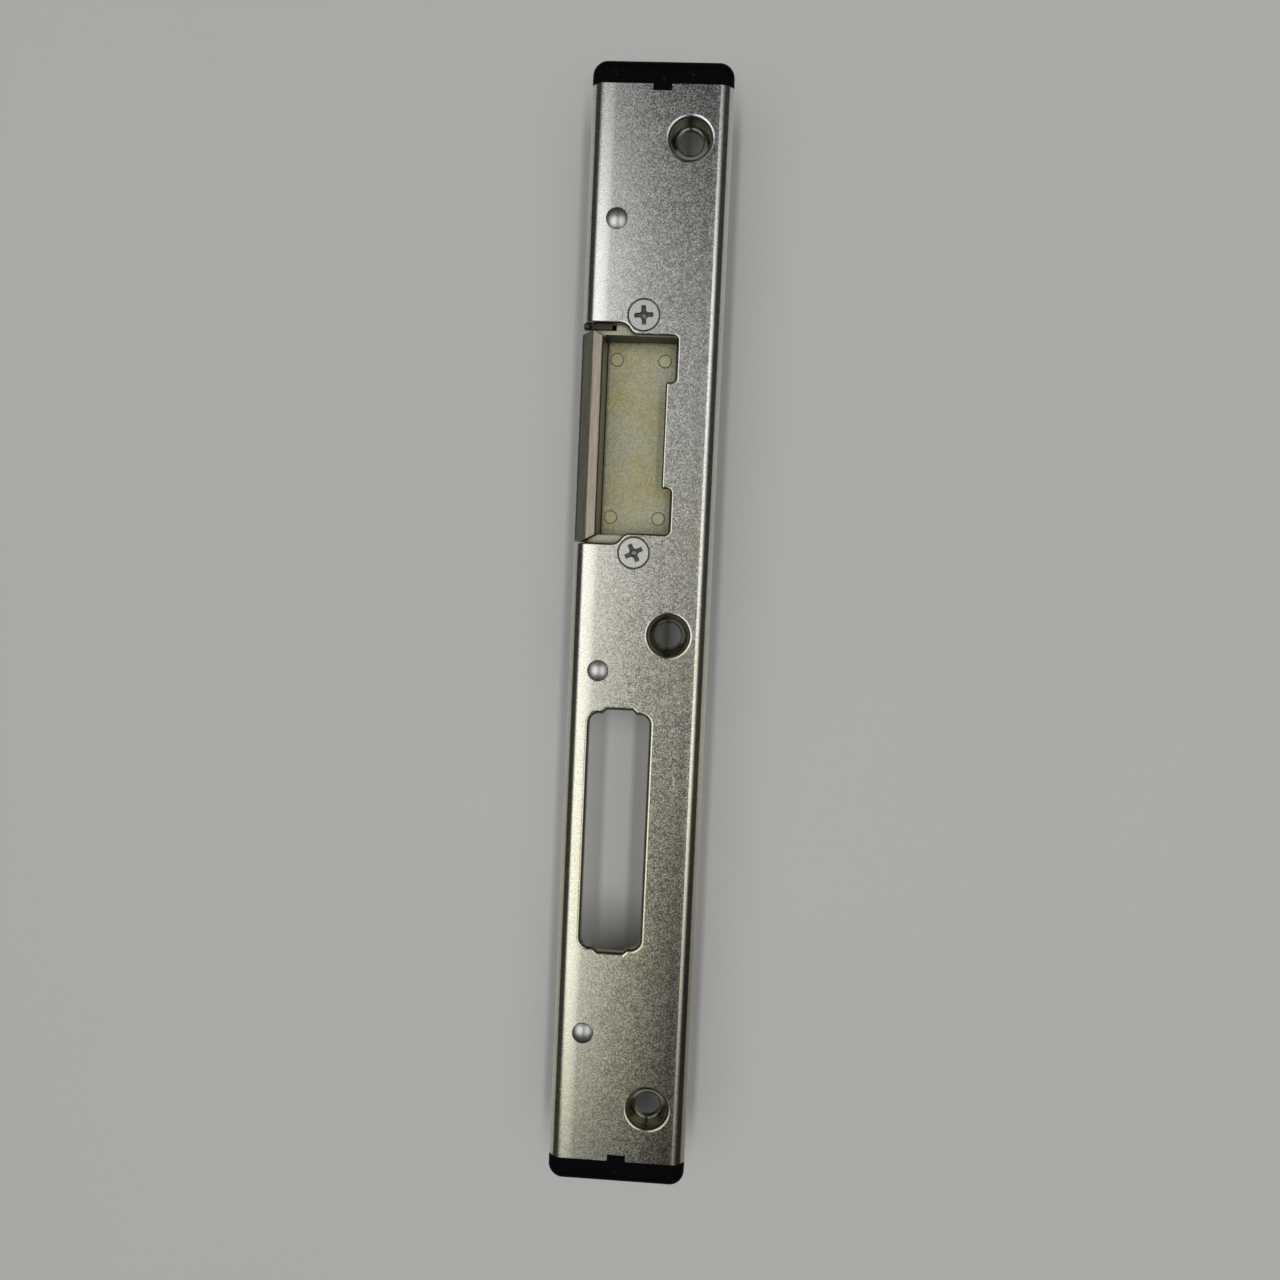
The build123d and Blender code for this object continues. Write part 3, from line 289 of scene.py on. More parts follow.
class Grain(Effect):
    """Fine mottled grain, as on plated sheet or a blasted mould."""

    title = "grain"
    inputs = {
        "Vector": ("NodeSocketVector", None),
        "Size": ("NodeSocketFloat", 0.0004),
        "Contrast": ("NodeSocketFloat", 1.0),
    }
    outputs = {"Value": "NodeSocketFloat", "Coarse": "NodeSocketFloat"}

    def wire(self, net: Net, source: Any) -> dict[str, Socket]:
        """Two sizes of noise, spread around a half.

        Args:
            net: the group's net.
            source: the group's input sockets.

        Returns:
            The output sockets by name.
        """
        scale = net.math("DIVIDE", 1.0, source["Size"])
        fine = net.noise(source["Vector"], scale, 3.0, 0.6)
        coarse = net.noise(source["Vector"], net.math("MULTIPLY", scale, 0.28), 2.0, 0.5)
        both = net.math("ADD", net.math("MULTIPLY", fine, 0.85), net.math("MULTIPLY", coarse, 0.15))
        spread = net.math("MULTIPLY", net.math("SUBTRACT", both, 0.5), source["Contrast"])
        return {"Value": net.math("ADD", spread, 0.5, clamp=True), "Coarse": coarse}


class Blotches(Effect):
    """Large soft patches, for tint and stains."""

    title = "blotches"
    inputs = {
        "Vector": ("NodeSocketVector", None),
        "Size": ("NodeSocketFloat", 0.02),
        "Share": ("NodeSocketFloat", 0.5),
    }
    outputs = {"Mask": "NodeSocketFloat"}

    def wire(self, net: Net, source: Any) -> dict[str, Socket]:
        """Noise thresholded at a level that gives the asked share.

        Args:
            net: the group's net.
            source: the group's input sockets.

        Returns:
            The output sockets by name.
        """
        scale = net.math("DIVIDE", 1.0, source["Size"])
        moved = net.warped(source["Vector"], scale, (0.012, 0.012, 0.012), 1.0)
        value = net.noise(moved, scale, 4.0, 0.55)
        level = net.math("SUBTRACT", 1.0, source["Share"])
        low = net.math("SUBTRACT", value, net.math("MULTIPLY", level, 0.6))
        mask = net.math("MULTIPLY", net.math("SUBTRACT", low, 0.1), 3.2, clamp=True)
        return {"Mask": mask}


class EdgeWear(Effect):
    """Rounded edges: a mask that is 1 on an edge, and the normal of the rounded surface."""

    title = "edge_wear"
    inputs = {
        "Vector": ("NodeSocketVector", None),
        "Radius": ("NodeSocketFloat", 0.0002),
        "Strength": ("NodeSocketFloat", 1.0),
    }
    outputs = {"Mask": "NodeSocketFloat", "Normal": "NodeSocketVector"}

    def wire(self, net: Net, source: Any) -> dict[str, Socket]:
        """The turn between the plain normal and the rounded one.

        Args:
            net: the group's net.
            source: the group's input sockets.

        Returns:
            The output sockets by name.
        """
        rounded = net.add("ShaderNodeBevel", {"Radius": source["Radius"]}, samples=4)
        plain = net.add("ShaderNodeNewGeometry").outputs["Normal"]
        dot = net.add("ShaderNodeVectorMath", {0: rounded.outputs[0], 1: plain}, operation="DOT_PRODUCT")
        turn = net.math("SUBTRACT", 1.0, dot.outputs["Value"])
        broken = net.noise(source["Vector"], 900.0, 3.0, 0.6)
        strong = net.math("MULTIPLY", turn, source["Strength"])
        ragged = net.math("MULTIPLY", strong, net.math("ADD", broken, 0.4))
        return {"Mask": net.math("MULTIPLY", ragged, 6.0, clamp=True), "Normal": rounded.outputs[0]}


class Scratches(Effect):
    """Sparse hairline marks."""

    title = "scratches"
    inputs = {
        "Vector": ("NodeSocketVector", None),
        "Size": ("NodeSocketFloat", 0.01),
        "Amount": ("NodeSocketFloat", 0.3),
    }
    outputs = {"Mask": "NodeSocketFloat"}

    def wire(self, net: Net, source: Any) -> dict[str, Socket]:
        """Thin cell borders that noise breaks into short strokes.

        Args:
            net: the group's net.
            source: the group's input sockets.

        Returns:
            The output sockets by name.
        """
        scale = net.math("DIVIDE", 1.0, source["Size"])
        moved = net.warped(source["Vector"], net.math("MULTIPLY", scale, 1.7), (0.004, 0.009, 0.004), 2.0)
        cells = net.add(
            "ShaderNodeTexVoronoi",
            {"Vector": moved, "Scale": scale},
            feature="DISTANCE_TO_EDGE",
        )
        line = net.math("LESS_THAN", cells.outputs[0], 0.007)
        stroke = net.span(net.noise(source["Vector"], net.math("MULTIPLY", scale, 0.8), 2.0), 0.54, 0.62)
        strokes = net.math("MULTIPLY", line, stroke)
        return {"Mask": net.math("MULTIPLY", strokes, source["Amount"], clamp=True)}


class Recess(Effect):
    """Grime and shade that gather in corners, slots and holes."""

    title = "recess"
    inputs = {"Vector": ("NodeSocketVector", None), "Reach": ("NodeSocketFloat", 0.0015)}
    outputs = {"Mask": "NodeSocketFloat"}

    def wire(self, net: Net, source: Any) -> dict[str, Socket]:
        """How closed in a point is, broken up a little.

        Args:
            net: the group's net.
            source: the group's input sockets.

        Returns:
            The output sockets by name.
        """
        around = net.add("ShaderNodeAmbientOcclusion", {"Distance": source["Reach"]}, samples=6)
        open_share = around.outputs["AO"]
        uneven = net.math("ADD", net.math("MULTIPLY", net.noise(source["Vector"], 600.0), 0.3), 0.85)
        closed = net.math("MULTIPLY", net.math("SUBTRACT", 1.0, open_share), uneven)
        return {"Mask": net.span(closed, 0.12, 0.62)}


class PaintedSteepShade(Effect):
    """Painted shade on steep and downward faces inside the flat of a sheet: they are given a darker tone than
    its face.
    """

    title = "painted_steep_shade"
    inputs = {"Vector": ("NodeSocketVector", None), "Half": ("NodeSocketFloat", 0.012)}
    outputs = {"Mask": "NodeSocketFloat"}

    def wire(self, net: Net, source: Any) -> dict[str, Socket]:
        """Masks what is steep or faces down and lies within half the flat's width of the middle line.

        Args:
            net: the group's net.
            source: the group's input sockets.

        Returns:
            The output sockets by name.
        """
        across = net.math("ABSOLUTE", net.add("ShaderNodeSeparateXYZ", {0: source["Vector"]}).outputs[0])
        inside = net.math("LESS_THAN", across, source["Half"])
        facing = net.add("ShaderNodeSeparateXYZ", {0: net.add("ShaderNodeNewGeometry").outputs["Normal"]})
        steep = net.span(facing.outputs[2], 0.82, 0.62)
        return {"Mask": net.math("MULTIPLY", inside, steep)}


class Crown(Effect):
    """The slight fall of a sheet towards its folded sides, as a height."""

    title = "crown"
    inputs = {
        "Vector": ("NodeSocketVector", None),
        "Flat": ("NodeSocketFloat", 0.0095),
        "Fall": ("NodeSocketFloat", 9.0),
    }
    outputs = {"Height": "NodeSocketFloat"}

    def wire(self, net: Net, source: Any) -> dict[str, Socket]:
        """A parabola that starts where the flat part ends.

        Args:
            net: the group's net.
            source: the group's input sockets.

        Returns:
            The output sockets by name.
        """
        across = net.add("ShaderNodeSeparateXYZ", {0: source["Vector"]}).outputs[0]
        beyond = net.math("MAXIMUM", net.math("SUBTRACT", net.math("ABSOLUTE", across), source["Flat"]), 0.0)
        fall = net.math("MULTIPLY", net.math("MULTIPLY", beyond, beyond), source["Fall"])
        return {"Height": net.math("MULTIPLY", fall, -1.0)}


class Streaks(Effect):
    """Fine lines drawn out along Y, as a rolling or sliding surface has."""

    title = "streaks"
    inputs = {
        "Vector": ("NodeSocketVector", None),
        "Pitch": ("NodeSocketFloat", 0.0003),
        "Stretch": ("NodeSocketFloat", 0.02),
    }
    outputs = {"Value": "NodeSocketFloat"}

    def wire(self, net: Net, source: Any) -> dict[str, Socket]:
        """Noise squeezed along Y.

        Args:
            net: the group's net.
            source: the group's input sockets.

        Returns:
            The output sockets by name.
        """
        squeeze = net.add("ShaderNodeCombineXYZ", {0: 1.0, 1: source["Stretch"], 2: 1.0})
        inputs = {0: source["Vector"], 1: squeeze.outputs[0]}
        flat = net.add("ShaderNodeVectorMath", inputs, operation="MULTIPLY")
        return {"Value": net.noise(flat.outputs[0], net.math("DIVIDE", 1.0, source["Pitch"]), 3.0, 0.6)}


class Dust(Effect):
    """Sparse pale specks."""

    title = "dust"
    inputs = {"Vector": ("NodeSocketVector", None), "Amount": ("NodeSocketFloat", 0.3)}
    outputs = {"Mask": "NodeSocketFloat"}

    def wire(self, net: Net, source: Any) -> dict[str, Socket]:
        """Tiny cells, most of them left out.

        Args:
            net: the group's net.
            source: the group's input sockets.

        Returns:
            The output sockets by name.
        """
        cells = net.add("ShaderNodeTexVoronoi", {"Vector": source["Vector"], "Scale": 900.0})
        dot = net.span(cells.outputs["Distance"], 0.30, 0.12)
        pick = net.span(net.noise(source["Vector"], 260.0, 1.0), 0.60, 0.66)
        return {"Mask": net.math("MULTIPLY", net.math("MULTIPLY", dot, pick), source["Amount"], clamp=True)}


# ---------------------------------------------------------------- finishes


def new_material(name: str) -> tuple[bpy.types.Material, Net, bpy.types.Node]:
    """Starts a material with a Principled BSDF.

    Args:
        name: the finish's name.

    Returns:
        The material, its net and its shader.
    """
    material = bpy.data.materials.new("look_" + name)
    material.use_nodes = True
    material.node_tree.nodes.clear()
    net = Net(material.node_tree)
    shader = net.add("ShaderNodeBsdfPrincipled")
    net.add("ShaderNodeOutputMaterial", {"Surface": shader.outputs[0]})
    return material, net, shader


@dataclass(frozen=True)
class PlatedFinish:
    """Bright plated metal: fine grain, a soft tint whose sweep towards one end is painted reflection colour,
    hairline marks, worn edges, recesses that are dulled and darkened with dirt and painted shade, painted
    shade on steep and downward faces inside the flat, and a painted darker, browner reflection along one side
    towards the lower end.
    """

    name: str
    colour: Colour
    tint: Colour
    roughness: float = 0.16
    grain_size: float = 0.31 * MM
    grain_depth: float = 2.3e-6
    cloud_size: float = 3.2 * MM
    shade: float = 0.22
    patch_size: float = 26 * MM
    patch_share: float = 0.45
    tint_from: float = 0.2
    tint_to: float = -0.2
    scratch: float = 0.35
    edge_radius: float = 0.12 * MM
    recess: float = 0.75
    recess_reach: float = 1.5 * MM
    crown: float = 0.0
    # Painted shade for steep and downward faces inside the flat.
    steep_shade: Colour = rgb(0.20, 0.19, 0.14)
    flat_half: float = 0.0
    # Painted reflection: the darker, browner tone that the face reflects along one side towards the lower
    # end.
    dim_reflection_tone: Colour = rgb(0.44, 0.40, 0.32)

    def tinting(self, net: Net, place: Socket) -> Socket:
        """Where the tint lies: stronger towards one end, in soft patches. The sweep towards that end is
        painted reflection colour, the warmer and darker tone that the face reflects there.

        Args:
            net: the material's net.
            place: the point on the piece.

        Returns:
            The tint's mask.
        """
        along = net.add("ShaderNodeSeparateXYZ", {0: place}).outputs[1]
        patches = net.effect(Blotches(), Vector=place, Size=self.patch_size, Share=self.patch_share)
        sweep = net.span(along, self.tint_to, self.tint_from, 1.0, 0.0)
        uneven = net.math("ADD", net.math("MULTIPLY", patches.outputs["Mask"], 0.5), 0.6)
        return net.math("MULTIPLY", sweep, uneven, clamp=True)

    def dim_reflection_mask(self, net: Net, place: Socket) -> Socket:
        """Where the face is given a painted darker, browner reflection: along one side, towards the lower
        end.

        Args:
            net: the material's net.
            place: the point on the piece.

        Returns:
            The tone's mask.
        """
        parts = net.add("ShaderNodeSeparateXYZ", {0: place})
        across = net.span(parts.outputs[0], 0.0, self.flat_half)
        along = net.span(parts.outputs[1], -20 * MM, -80 * MM)
        return net.math("MULTIPLY", across, along)

    def material(self) -> bpy.types.Material:
        """Builds the material.

        Returns:
            The material.
        """
        material, net, shader = new_material(self.name)
        place = net.place()
        grain = net.effect(Grain(), Vector=place, Size=self.grain_size, Contrast=2.6)
        cloud = net.effect(Grain(), Vector=place, Size=self.cloud_size, Contrast=2.0)
        wear = net.effect(EdgeWear(), Vector=place, Radius=self.edge_radius, Strength=1.0)
        marks = net.effect(Scratches(), Vector=place, Size=11 * MM, Amount=self.scratch)
        grime_and_shade = net.effect(Recess(), Vector=place, Reach=self.recess_reach)
        # The tint's sweep is painted reflection colour, made uneven in soft patches.
        tinted = net.mix(self.tinting(net, place), self.colour, self.tint)
        if self.flat_half > 0.0:
            # Painted reflection: darker and browner along one side towards the lower end.
            tinted = net.mix(self.dim_reflection_mask(net, place), tinted, self.dim_reflection_tone)
        both = net.math("ADD", net.math("MULTIPLY", grain.outputs["Value"], 0.85),
                        net.math("MULTIPLY", cloud.outputs["Value"], 0.15))
        shaded = net.shade(tinted, net.span(both, 0.2, 0.8, 1.0 - self.shade, 1.0 + self.shade / 3))
        bright = tuple(min(1.0, c * 1.15) for c in self.colour[:3]) + (1.0,)
        edged = net.mix(wear.outputs["Mask"], shaded, bright)
        # Painted shade, with some dirt: closed-in recesses are darkened towards near-black.
        grime_and_shade_share = net.math("MULTIPLY", grime_and_shade.outputs["Mask"], self.recess)
        with_grime_and_shade = net.mix(grime_and_shade_share, edged, rgb(0.02, 0.018, 0.015))
        if self.flat_half > 0.0:
            # Painted shade: steep and downward faces inside the flat are darkened.
            steep_shade = net.effect(PaintedSteepShade(), Vector=place, Half=self.flat_half)
            with_grime_and_shade = net.mix(net.math("MULTIPLY", steep_shade.outputs["Mask"], 0.92), with_grime_and_shade, self.steep_shade)
        net.put(shader.inputs["Base Color"], with_grime_and_shade)
        shader.inputs["Metallic"].default_value = 1.0
        spread = net.span(grain.outputs["Value"], 0.2, 0.8, self.roughness - 0.04, self.roughness + 0.05)
        rough = net.math("ADD", spread, net.math("MULTIPLY", marks.outputs["Mask"], 0.25))
        dulled = net.math("ADD", rough, net.math("MULTIPLY", grime_and_shade.outputs["Mask"], 0.3), clamp=True)
        net.put(shader.inputs["Roughness"], dulled)
        fine = net.math("SUBTRACT", grain.outputs["Value"], net.math("MULTIPLY", marks.outputs["Mask"], 0.8))
        height = net.math("MULTIPLY", fine, self.grain_depth)
        if self.crown > 0.0:
            crown = net.effect(Crown(), Vector=place, Flat=9.5 * MM, Fall=self.crown)
            height = net.math("ADD", height, crown.outputs["Height"])
        bump = net.add(
            "ShaderNodeBump",
            {"Strength": 1.0, "Distance": 1.0, "Height": height, "Normal": wear.outputs["Normal"]},
        )
        net.put(shader.inputs["Normal"], bump.outputs[0])
        return material


@dataclass(frozen=True)
class KeeperFinish:
    """Sintered steel: a rubbed bronze strip on top, olive flanks, and streaks along its length."""

    name: str
    top: Colour
    flank: Colour
    top_height: float
    roughness: float = 0.42

    def material(self) -> bpy.types.Material:
        """Builds the material.

        Returns:
            The material.
        """
        material, net, shader = new_material(self.name)
        place = net.place()
        height = net.add("ShaderNodeSeparateXYZ", {0: place}).outputs[2]
        rubbed = net.span(height, self.top_height - 0.25 * MM, self.top_height - 0.05 * MM)
        grain = net.effect(Grain(), Vector=place, Size=0.3 * MM, Contrast=1.8)
        streaks = net.effect(Streaks(), Vector=place, Pitch=0.35 * MM, Stretch=0.035)
        wear = net.effect(EdgeWear(), Vector=place, Radius=0.25 * MM, Strength=0.8)
        colour = net.mix(rubbed, self.flank, self.top)
        shaded = net.shade(colour, net.span(streaks.outputs["Value"], 0.3, 0.7, 0.72, 1.0))
        net.put(shader.inputs["Base Color"], net.mix(wear.outputs["Mask"], shaded, rgb(0.62, 0.56, 0.50)))
        shader.inputs["Metallic"].default_value = 1.0
        net.put(shader.inputs["Roughness"], net.span(grain.outputs["Value"], 0.2, 0.8, self.roughness - 0.08,
                                                     self.roughness + 0.1))
        relief = net.math("ADD", grain.outputs["Value"], net.math("MULTIPLY", streaks.outputs["Value"], 0.8))
        bump = net.add(
            "ShaderNodeBump",
            {"Strength": 1.0, "Distance": 5e-6, "Height": relief, "Normal": wear.outputs["Normal"]},
        )
        net.put(shader.inputs["Normal"], bump.outputs[0])
        return material


@dataclass(frozen=True)
class CastFinish:
    """Yellow-passivated zinc casting: paler ejector marks on the floor, painted near-black shade on its
    upright faces, and painted shade with some dirt in its recesses.
    """

    name: str
    colour: Colour
    stain: Colour
    mark: Colour
    # Painted shade for the upright faces.
    wall_shade: Colour
    floor_height: float
    roughness: float = 0.5

    def material(self) -> bpy.types.Material:
        """Builds the material.

        Returns:
            The material.
        """
        material, net, shader = new_material(self.name)
        place = net.place()
        height = net.add("ShaderNodeSeparateXYZ", {0: place}).outputs[2]
        above = net.math("GREATER_THAN", height, self.floor_height + 0.04 * MM)
        below = net.math("LESS_THAN", height, self.floor_height + 0.2 * MM)
        marks = net.math("MULTIPLY", above, below)
        grain = net.effect(Grain(), Vector=place, Size=0.4 * MM, Contrast=3.0)
        patches = net.effect(Blotches(), Vector=place, Size=9 * MM, Share=0.55)
        specks = net.effect(Dust(), Vector=place, Amount=0.5)
        wear = net.effect(EdgeWear(), Vector=place, Radius=0.2 * MM, Strength=0.7)
        colour = net.mix(patches.outputs["Mask"], self.colour, self.stain)
        shaded = net.shade(colour, net.span(grain.outputs["Value"], 0.2, 0.8, 0.62, 1.0))
        flecked = net.mix(specks.outputs["Mask"], shaded, rgb(0.75, 0.70, 0.38))
        marked = net.mix(net.math("MULTIPLY", marks, 0.35), flecked, self.mark)
        edged = net.mix(wear.outputs["Mask"], marked, rgb(0.66, 0.64, 0.52))
        grime_and_shade = net.effect(Recess(), Vector=place, Reach=1.2 * MM)
        # Painted shade: upright faces are made near-black.
        facing = net.add("ShaderNodeSeparateXYZ", {0: wear.outputs["Normal"]})
        upright = net.math("ABSOLUTE", facing.outputs[2])
        walls = net.span(upright, 0.75, 0.25)
        dulled = net.mix(net.math("MULTIPLY", walls, 0.92), edged, self.wall_shade)
        # Painted shade, with some dirt: closed-in places are darkened towards near-black.
        with_grime_and_shade = net.mix(net.math("MULTIPLY", grime_and_shade.outputs["Mask"], 0.7), dulled, rgb(0.03, 0.03, 0.02))
        net.put(shader.inputs["Base Color"], with_grime_and_shade)
        shader.inputs["Metallic"].default_value = 0.35
        net.put(shader.inputs["Roughness"], net.span(grain.outputs["Value"], 0.2, 0.8, self.roughness - 0.1,
                                                     self.roughness + 0.12))
        bump = net.add(
            "ShaderNodeBump",
            {"Strength": 1.0, "Distance": 1.2e-5, "Height": grain.outputs["Value"],
             "Normal": wear.outputs["Normal"]},
        )
        net.put(shader.inputs["Normal"], bump.outputs[0])
        return material


@dataclass(frozen=True)
class MouldedFinish:
    """Moulded plastic: a fine spark-eroded grain, pale dust specks and slightly polished edges."""

    name: str
    colour: Colour
    roughness: float = 0.5
    grain_size: float = 0.16 * MM
    grain_depth: float = 6e-6
    dust: float = 0.04

    def material(self) -> bpy.types.Material:
        """Builds the material.

        Returns:
            The material.
        """
        material, net, shader = new_material(self.name)
        place = net.place()
        grain = net.effect(Grain(), Vector=place, Size=self.grain_size, Contrast=1.8)
        specks = net.effect(Dust(), Vector=place, Amount=self.dust)
        wear = net.effect(EdgeWear(), Vector=place, Radius=0.3 * MM, Strength=0.5)
        shaded = net.shade(self.colour, net.span(grain.outputs["Coarse"], 0.3, 0.7, 0.8, 1.0))
        lifted = tuple(min(1.0, c * 2.0 + 0.01) for c in self.colour[:3]) + (1.0,)
        edged = net.mix(net.math("MULTIPLY", wear.outputs["Mask"], 0.5), shaded, lifted)
        net.put(shader.inputs["Base Color"], net.mix(specks.outputs["Mask"], edged, rgb(0.35, 0.34, 0.32)))
        rough = net.span(grain.outputs["Value"], 0.2, 0.8, self.roughness - 0.06, self.roughness + 0.1)
        polish = net.math("MULTIPLY", wear.outputs["Mask"], 0.12)
        net.put(shader.inputs["Roughness"], net.math("SUBTRACT", rough, polish, clamp=True))
        shader.inputs["Specular IOR Level"].default_value = 0.04
        bump = net.add(
            "ShaderNodeBump",
            {"Strength": 1.0, "Distance": self.grain_depth, "Height": grain.outputs["Value"],
             "Normal": wear.outputs["Normal"]},
        )
        net.put(shader.inputs["Normal"], bump.outputs[0])
        return material


@dataclass(frozen=True)
class TableFinish:
    """The pale, even table top."""

    name: str = "table"
    colour: Colour = rgb(0.50, 0.50, 0.49)

    def material(self) -> bpy.types.Material:
        """Builds the material.

        Returns:
            The material.
        """
        material, net, shader = new_material(self.name)
        place = net.place()
        patches = net.effect(Blotches(), Vector=place, Size=180 * MM, Share=0.4)
        faint = net.math("MULTIPLY", patches.outputs["Mask"], 0.25)
        net.put(shader.inputs["Base Color"], net.mix(faint, self.colour, rgb(0.53, 0.527, 0.515)))
        shader.inputs["Roughness"].default_value = 0.55
        shader.inputs["Specular IOR Level"].default_value = 0.25
        return material


class Looks:
    """All finishes of the object, each built when it is first used."""

    def __init__(self) -> None:
        """Names the finishes, with heights read from the frame."""
        keeper_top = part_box("keeper")[1].z
        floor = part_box("faceplate")[1].z - FLOOR_DEPTH
        plate = PlatedFinish("zinc_plate", rgb(0.77, 0.765, 0.725), rgb(0.75, 0.715, 0.50), tint_from=0.09,
                             tint_to=-0.06, crown=9.0, flat_half=12.2 * MM, recess_reach=0.5 * MM,
                             recess=0.3, grain_depth=2.8e-6, shade=0.26)
        small = PlatedFinish("steel", rgb(0.70, 0.69, 0.66), rgb(0.62, 0.60, 0.54), roughness=0.3,
                             grain_size=0.15 * MM, grain_depth=1.2e-6, shade=0.14, patch_size=4 * MM,
                             cloud_size=1.5 * MM)
        self.finishes: dict[str, Any] = {
            "zinc_plate": plate,
            "steel": small,
            "keeper_steel": KeeperFinish("keeper_steel", rgb(0.60, 0.52, 0.42), rgb(0.36, 0.35, 0.27),
                                         keeper_top),
            # The fourth colour here is the casting's painted shade for upright faces.
            "zinc_casting": CastFinish("zinc_casting", rgb(0.53, 0.53, 0.40), rgb(0.54, 0.49, 0.26),
                                       rgb(0.60, 0.56, 0.27), rgb(0.035, 0.037, 0.035), floor),
            "black_plastic": MouldedFinish("black_plastic", rgb(0.0022, 0.0022, 0.003)),
            "spring_steel": replace(small, name="spring_steel", colour=rgb(0.42, 0.42, 0.43),
                                    tint=rgb(0.36, 0.35, 0.34), roughness=0.25, patch_size=3 * MM),
            "soft_iron": replace(small, name="soft_iron", colour=rgb(0.50, 0.49, 0.46),
                                 tint=rgb(0.46, 0.42, 0.33), roughness=0.36, patch_size=6 * MM),
            "copper": replace(small, name="copper", colour=rgb(0.74, 0.33, 0.15), tint=rgb(0.60, 0.22, 0.08),
                              roughness=0.25, scratch=0.0),
            "brass": replace(small, name="brass", colour=rgb(0.76, 0.60, 0.28), tint=rgb(0.66, 0.48, 0.20)),
            "lead_jacket": MouldedFinish("lead_jacket", rgb(0.38, 0.03, 0.02), roughness=0.38, dust=0.0),
            "blackened_steel": replace(small, name="blackened_steel", colour=rgb(0.09, 0.08, 0.075),
                                       tint=rgb(0.06, 0.05, 0.04), roughness=0.38),
        }
        self.made: dict[str, bpy.types.Material] = {}

    def get(self, slot: str) -> bpy.types.Material:
        """The material of a slot of the record.

        Args:
            slot: the record's name for it.

        Returns:
            The material.
        """
        if slot not in self.made:
            self.made[slot] = self.finishes[slot].material()
        return self.made[slot]


# ---------------------------------------------------------------- pieces


def new_piece(name: str, mesh: bpy.types.Mesh, body: Body, slot: str, looks: Looks) -> bpy.types.Object:
    """Adds a mesh piece that rides on a body.

    Args:
        name: the piece's name.
        mesh: its mesh, in the frame's place.
        body: the body that it moves with.
        slot: the record's material slot.
        looks: the finishes.

    Returns:
        The new object.
    """
    piece = bpy.data.objects.new(name, mesh)
    bpy.context.scene.collection.objects.link(piece)
    mesh.materials.append(looks.get(slot))
    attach(piece, body.value)
    LOG.info("piece %s: %d faces on %s", name, len(mesh.polygons), body.value)
    return piece


@dataclass
class CoilWinding:
    """The wound wire between the bobbin's flanges, turn by turn."""

    looks: Looks
    wire: float = 0.42 * MM
    sides: int = 8
    steps: int = 40
    turns: int = field(init=False, default=0)

    def build(self) -> bpy.types.Object:
        """Winds one visible layer of wire over the CAD winding.

        Returns:
            The winding.
        """
        low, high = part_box("coil_winding")
        middle = (low + high) / 2
        outer = (high.z - low.z) / 2
        self.turns = int((high.y - low.y) / self.wire)
        radius = outer - self.wire / 2
        shape = bmesh.new()
        rings = []
        for step in range(self.turns * self.steps + 1):
            angle = 2 * math.pi * step / self.steps
            along = low.y + self.wire / 2 + (high.y - low.y - self.wire) * step / (self.turns * self.steps)
            ring = []
            for side in range(self.sides):
                lean = 2 * math.pi * side / self.sides
                reach = radius + self.wire / 2 * math.cos(lean)
                point = (
                    middle.x + reach * math.cos(angle),
                    along + self.wire / 2 * math.sin(lean),
                    middle.z + reach * math.sin(angle),
                )
                ring.append(shape.verts.new(point))
            rings.append(ring)
        for first, second in zip(rings, rings[1:]):
            for side in range(self.sides):
                after = (side + 1) % self.sides
                shape.faces.new((first[side], first[after], second[after], second[side]))
        shape.faces.new(rings[0])
        shape.faces.new(list(reversed(rings[-1])))
        bmesh.ops.recalc_face_normals(shape, faces=shape.faces)
        mesh = bpy.data.meshes.new("winding_turns")
        shape.to_mesh(mesh)
        shape.free()
        mesh.shade_smooth()
        piece = new_piece("winding_turns", mesh, Body.FRAME, "copper", self.looks)
        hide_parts("coil_winding")
        return piece


@dataclass
class CadNodes:
    """The CAD pieces whose shape is right as it is: they only get their finish."""

    looks: Looks
    slots: dict[str, str]

    def dress(self, nodes: dict[str, bpy.types.Object]) -> None:
        """Gives every node the finish of its slot.

        Args:
            nodes: the frame's objects by name.
        """
        for name, node in nodes.items():
            material = self.looks.get(self.slots[name])
            for holder in node.material_slots:
                holder.material = material
            LOG.info("node %s: finish %s", name, self.slots[name])


# ---------------------------------------------------------------- stage


@dataclass(frozen=True)
class Glow:
    """A soft-edged bright or dark window in the room, in degrees from straight overhead."""

    left: float
    right: float
    low: float
    high: float
    soft_x: float
    soft_y: float
    strength: float

    def mask(self, net: Net, across: Socket, along: Socket) -> Socket:
        """Builds the window's mask.

        Args:
            net: the world's net.
            across: the lean across the plate, in degrees.
            along: the lean along the plate, in degrees.

        Returns:
            A mask of 1 inside the window.
        """
        start = net.span(across, self.left - self.soft_x, self.left + self.soft_x)
        end = net.span(across, self.right - self.soft_x, self.right + self.soft_x, 1.0, 0.0)
        foot = net.span(along, self.low - self.soft_y, self.low + self.soft_y)
        top = net.span(along, self.high - self.soft_y, self.high + self.soft_y, 1.0, 0.0)
        return net.math("MULTIPLY", net.math("MULTIPLY", start, end), net.math("MULTIPLY", foot, top))


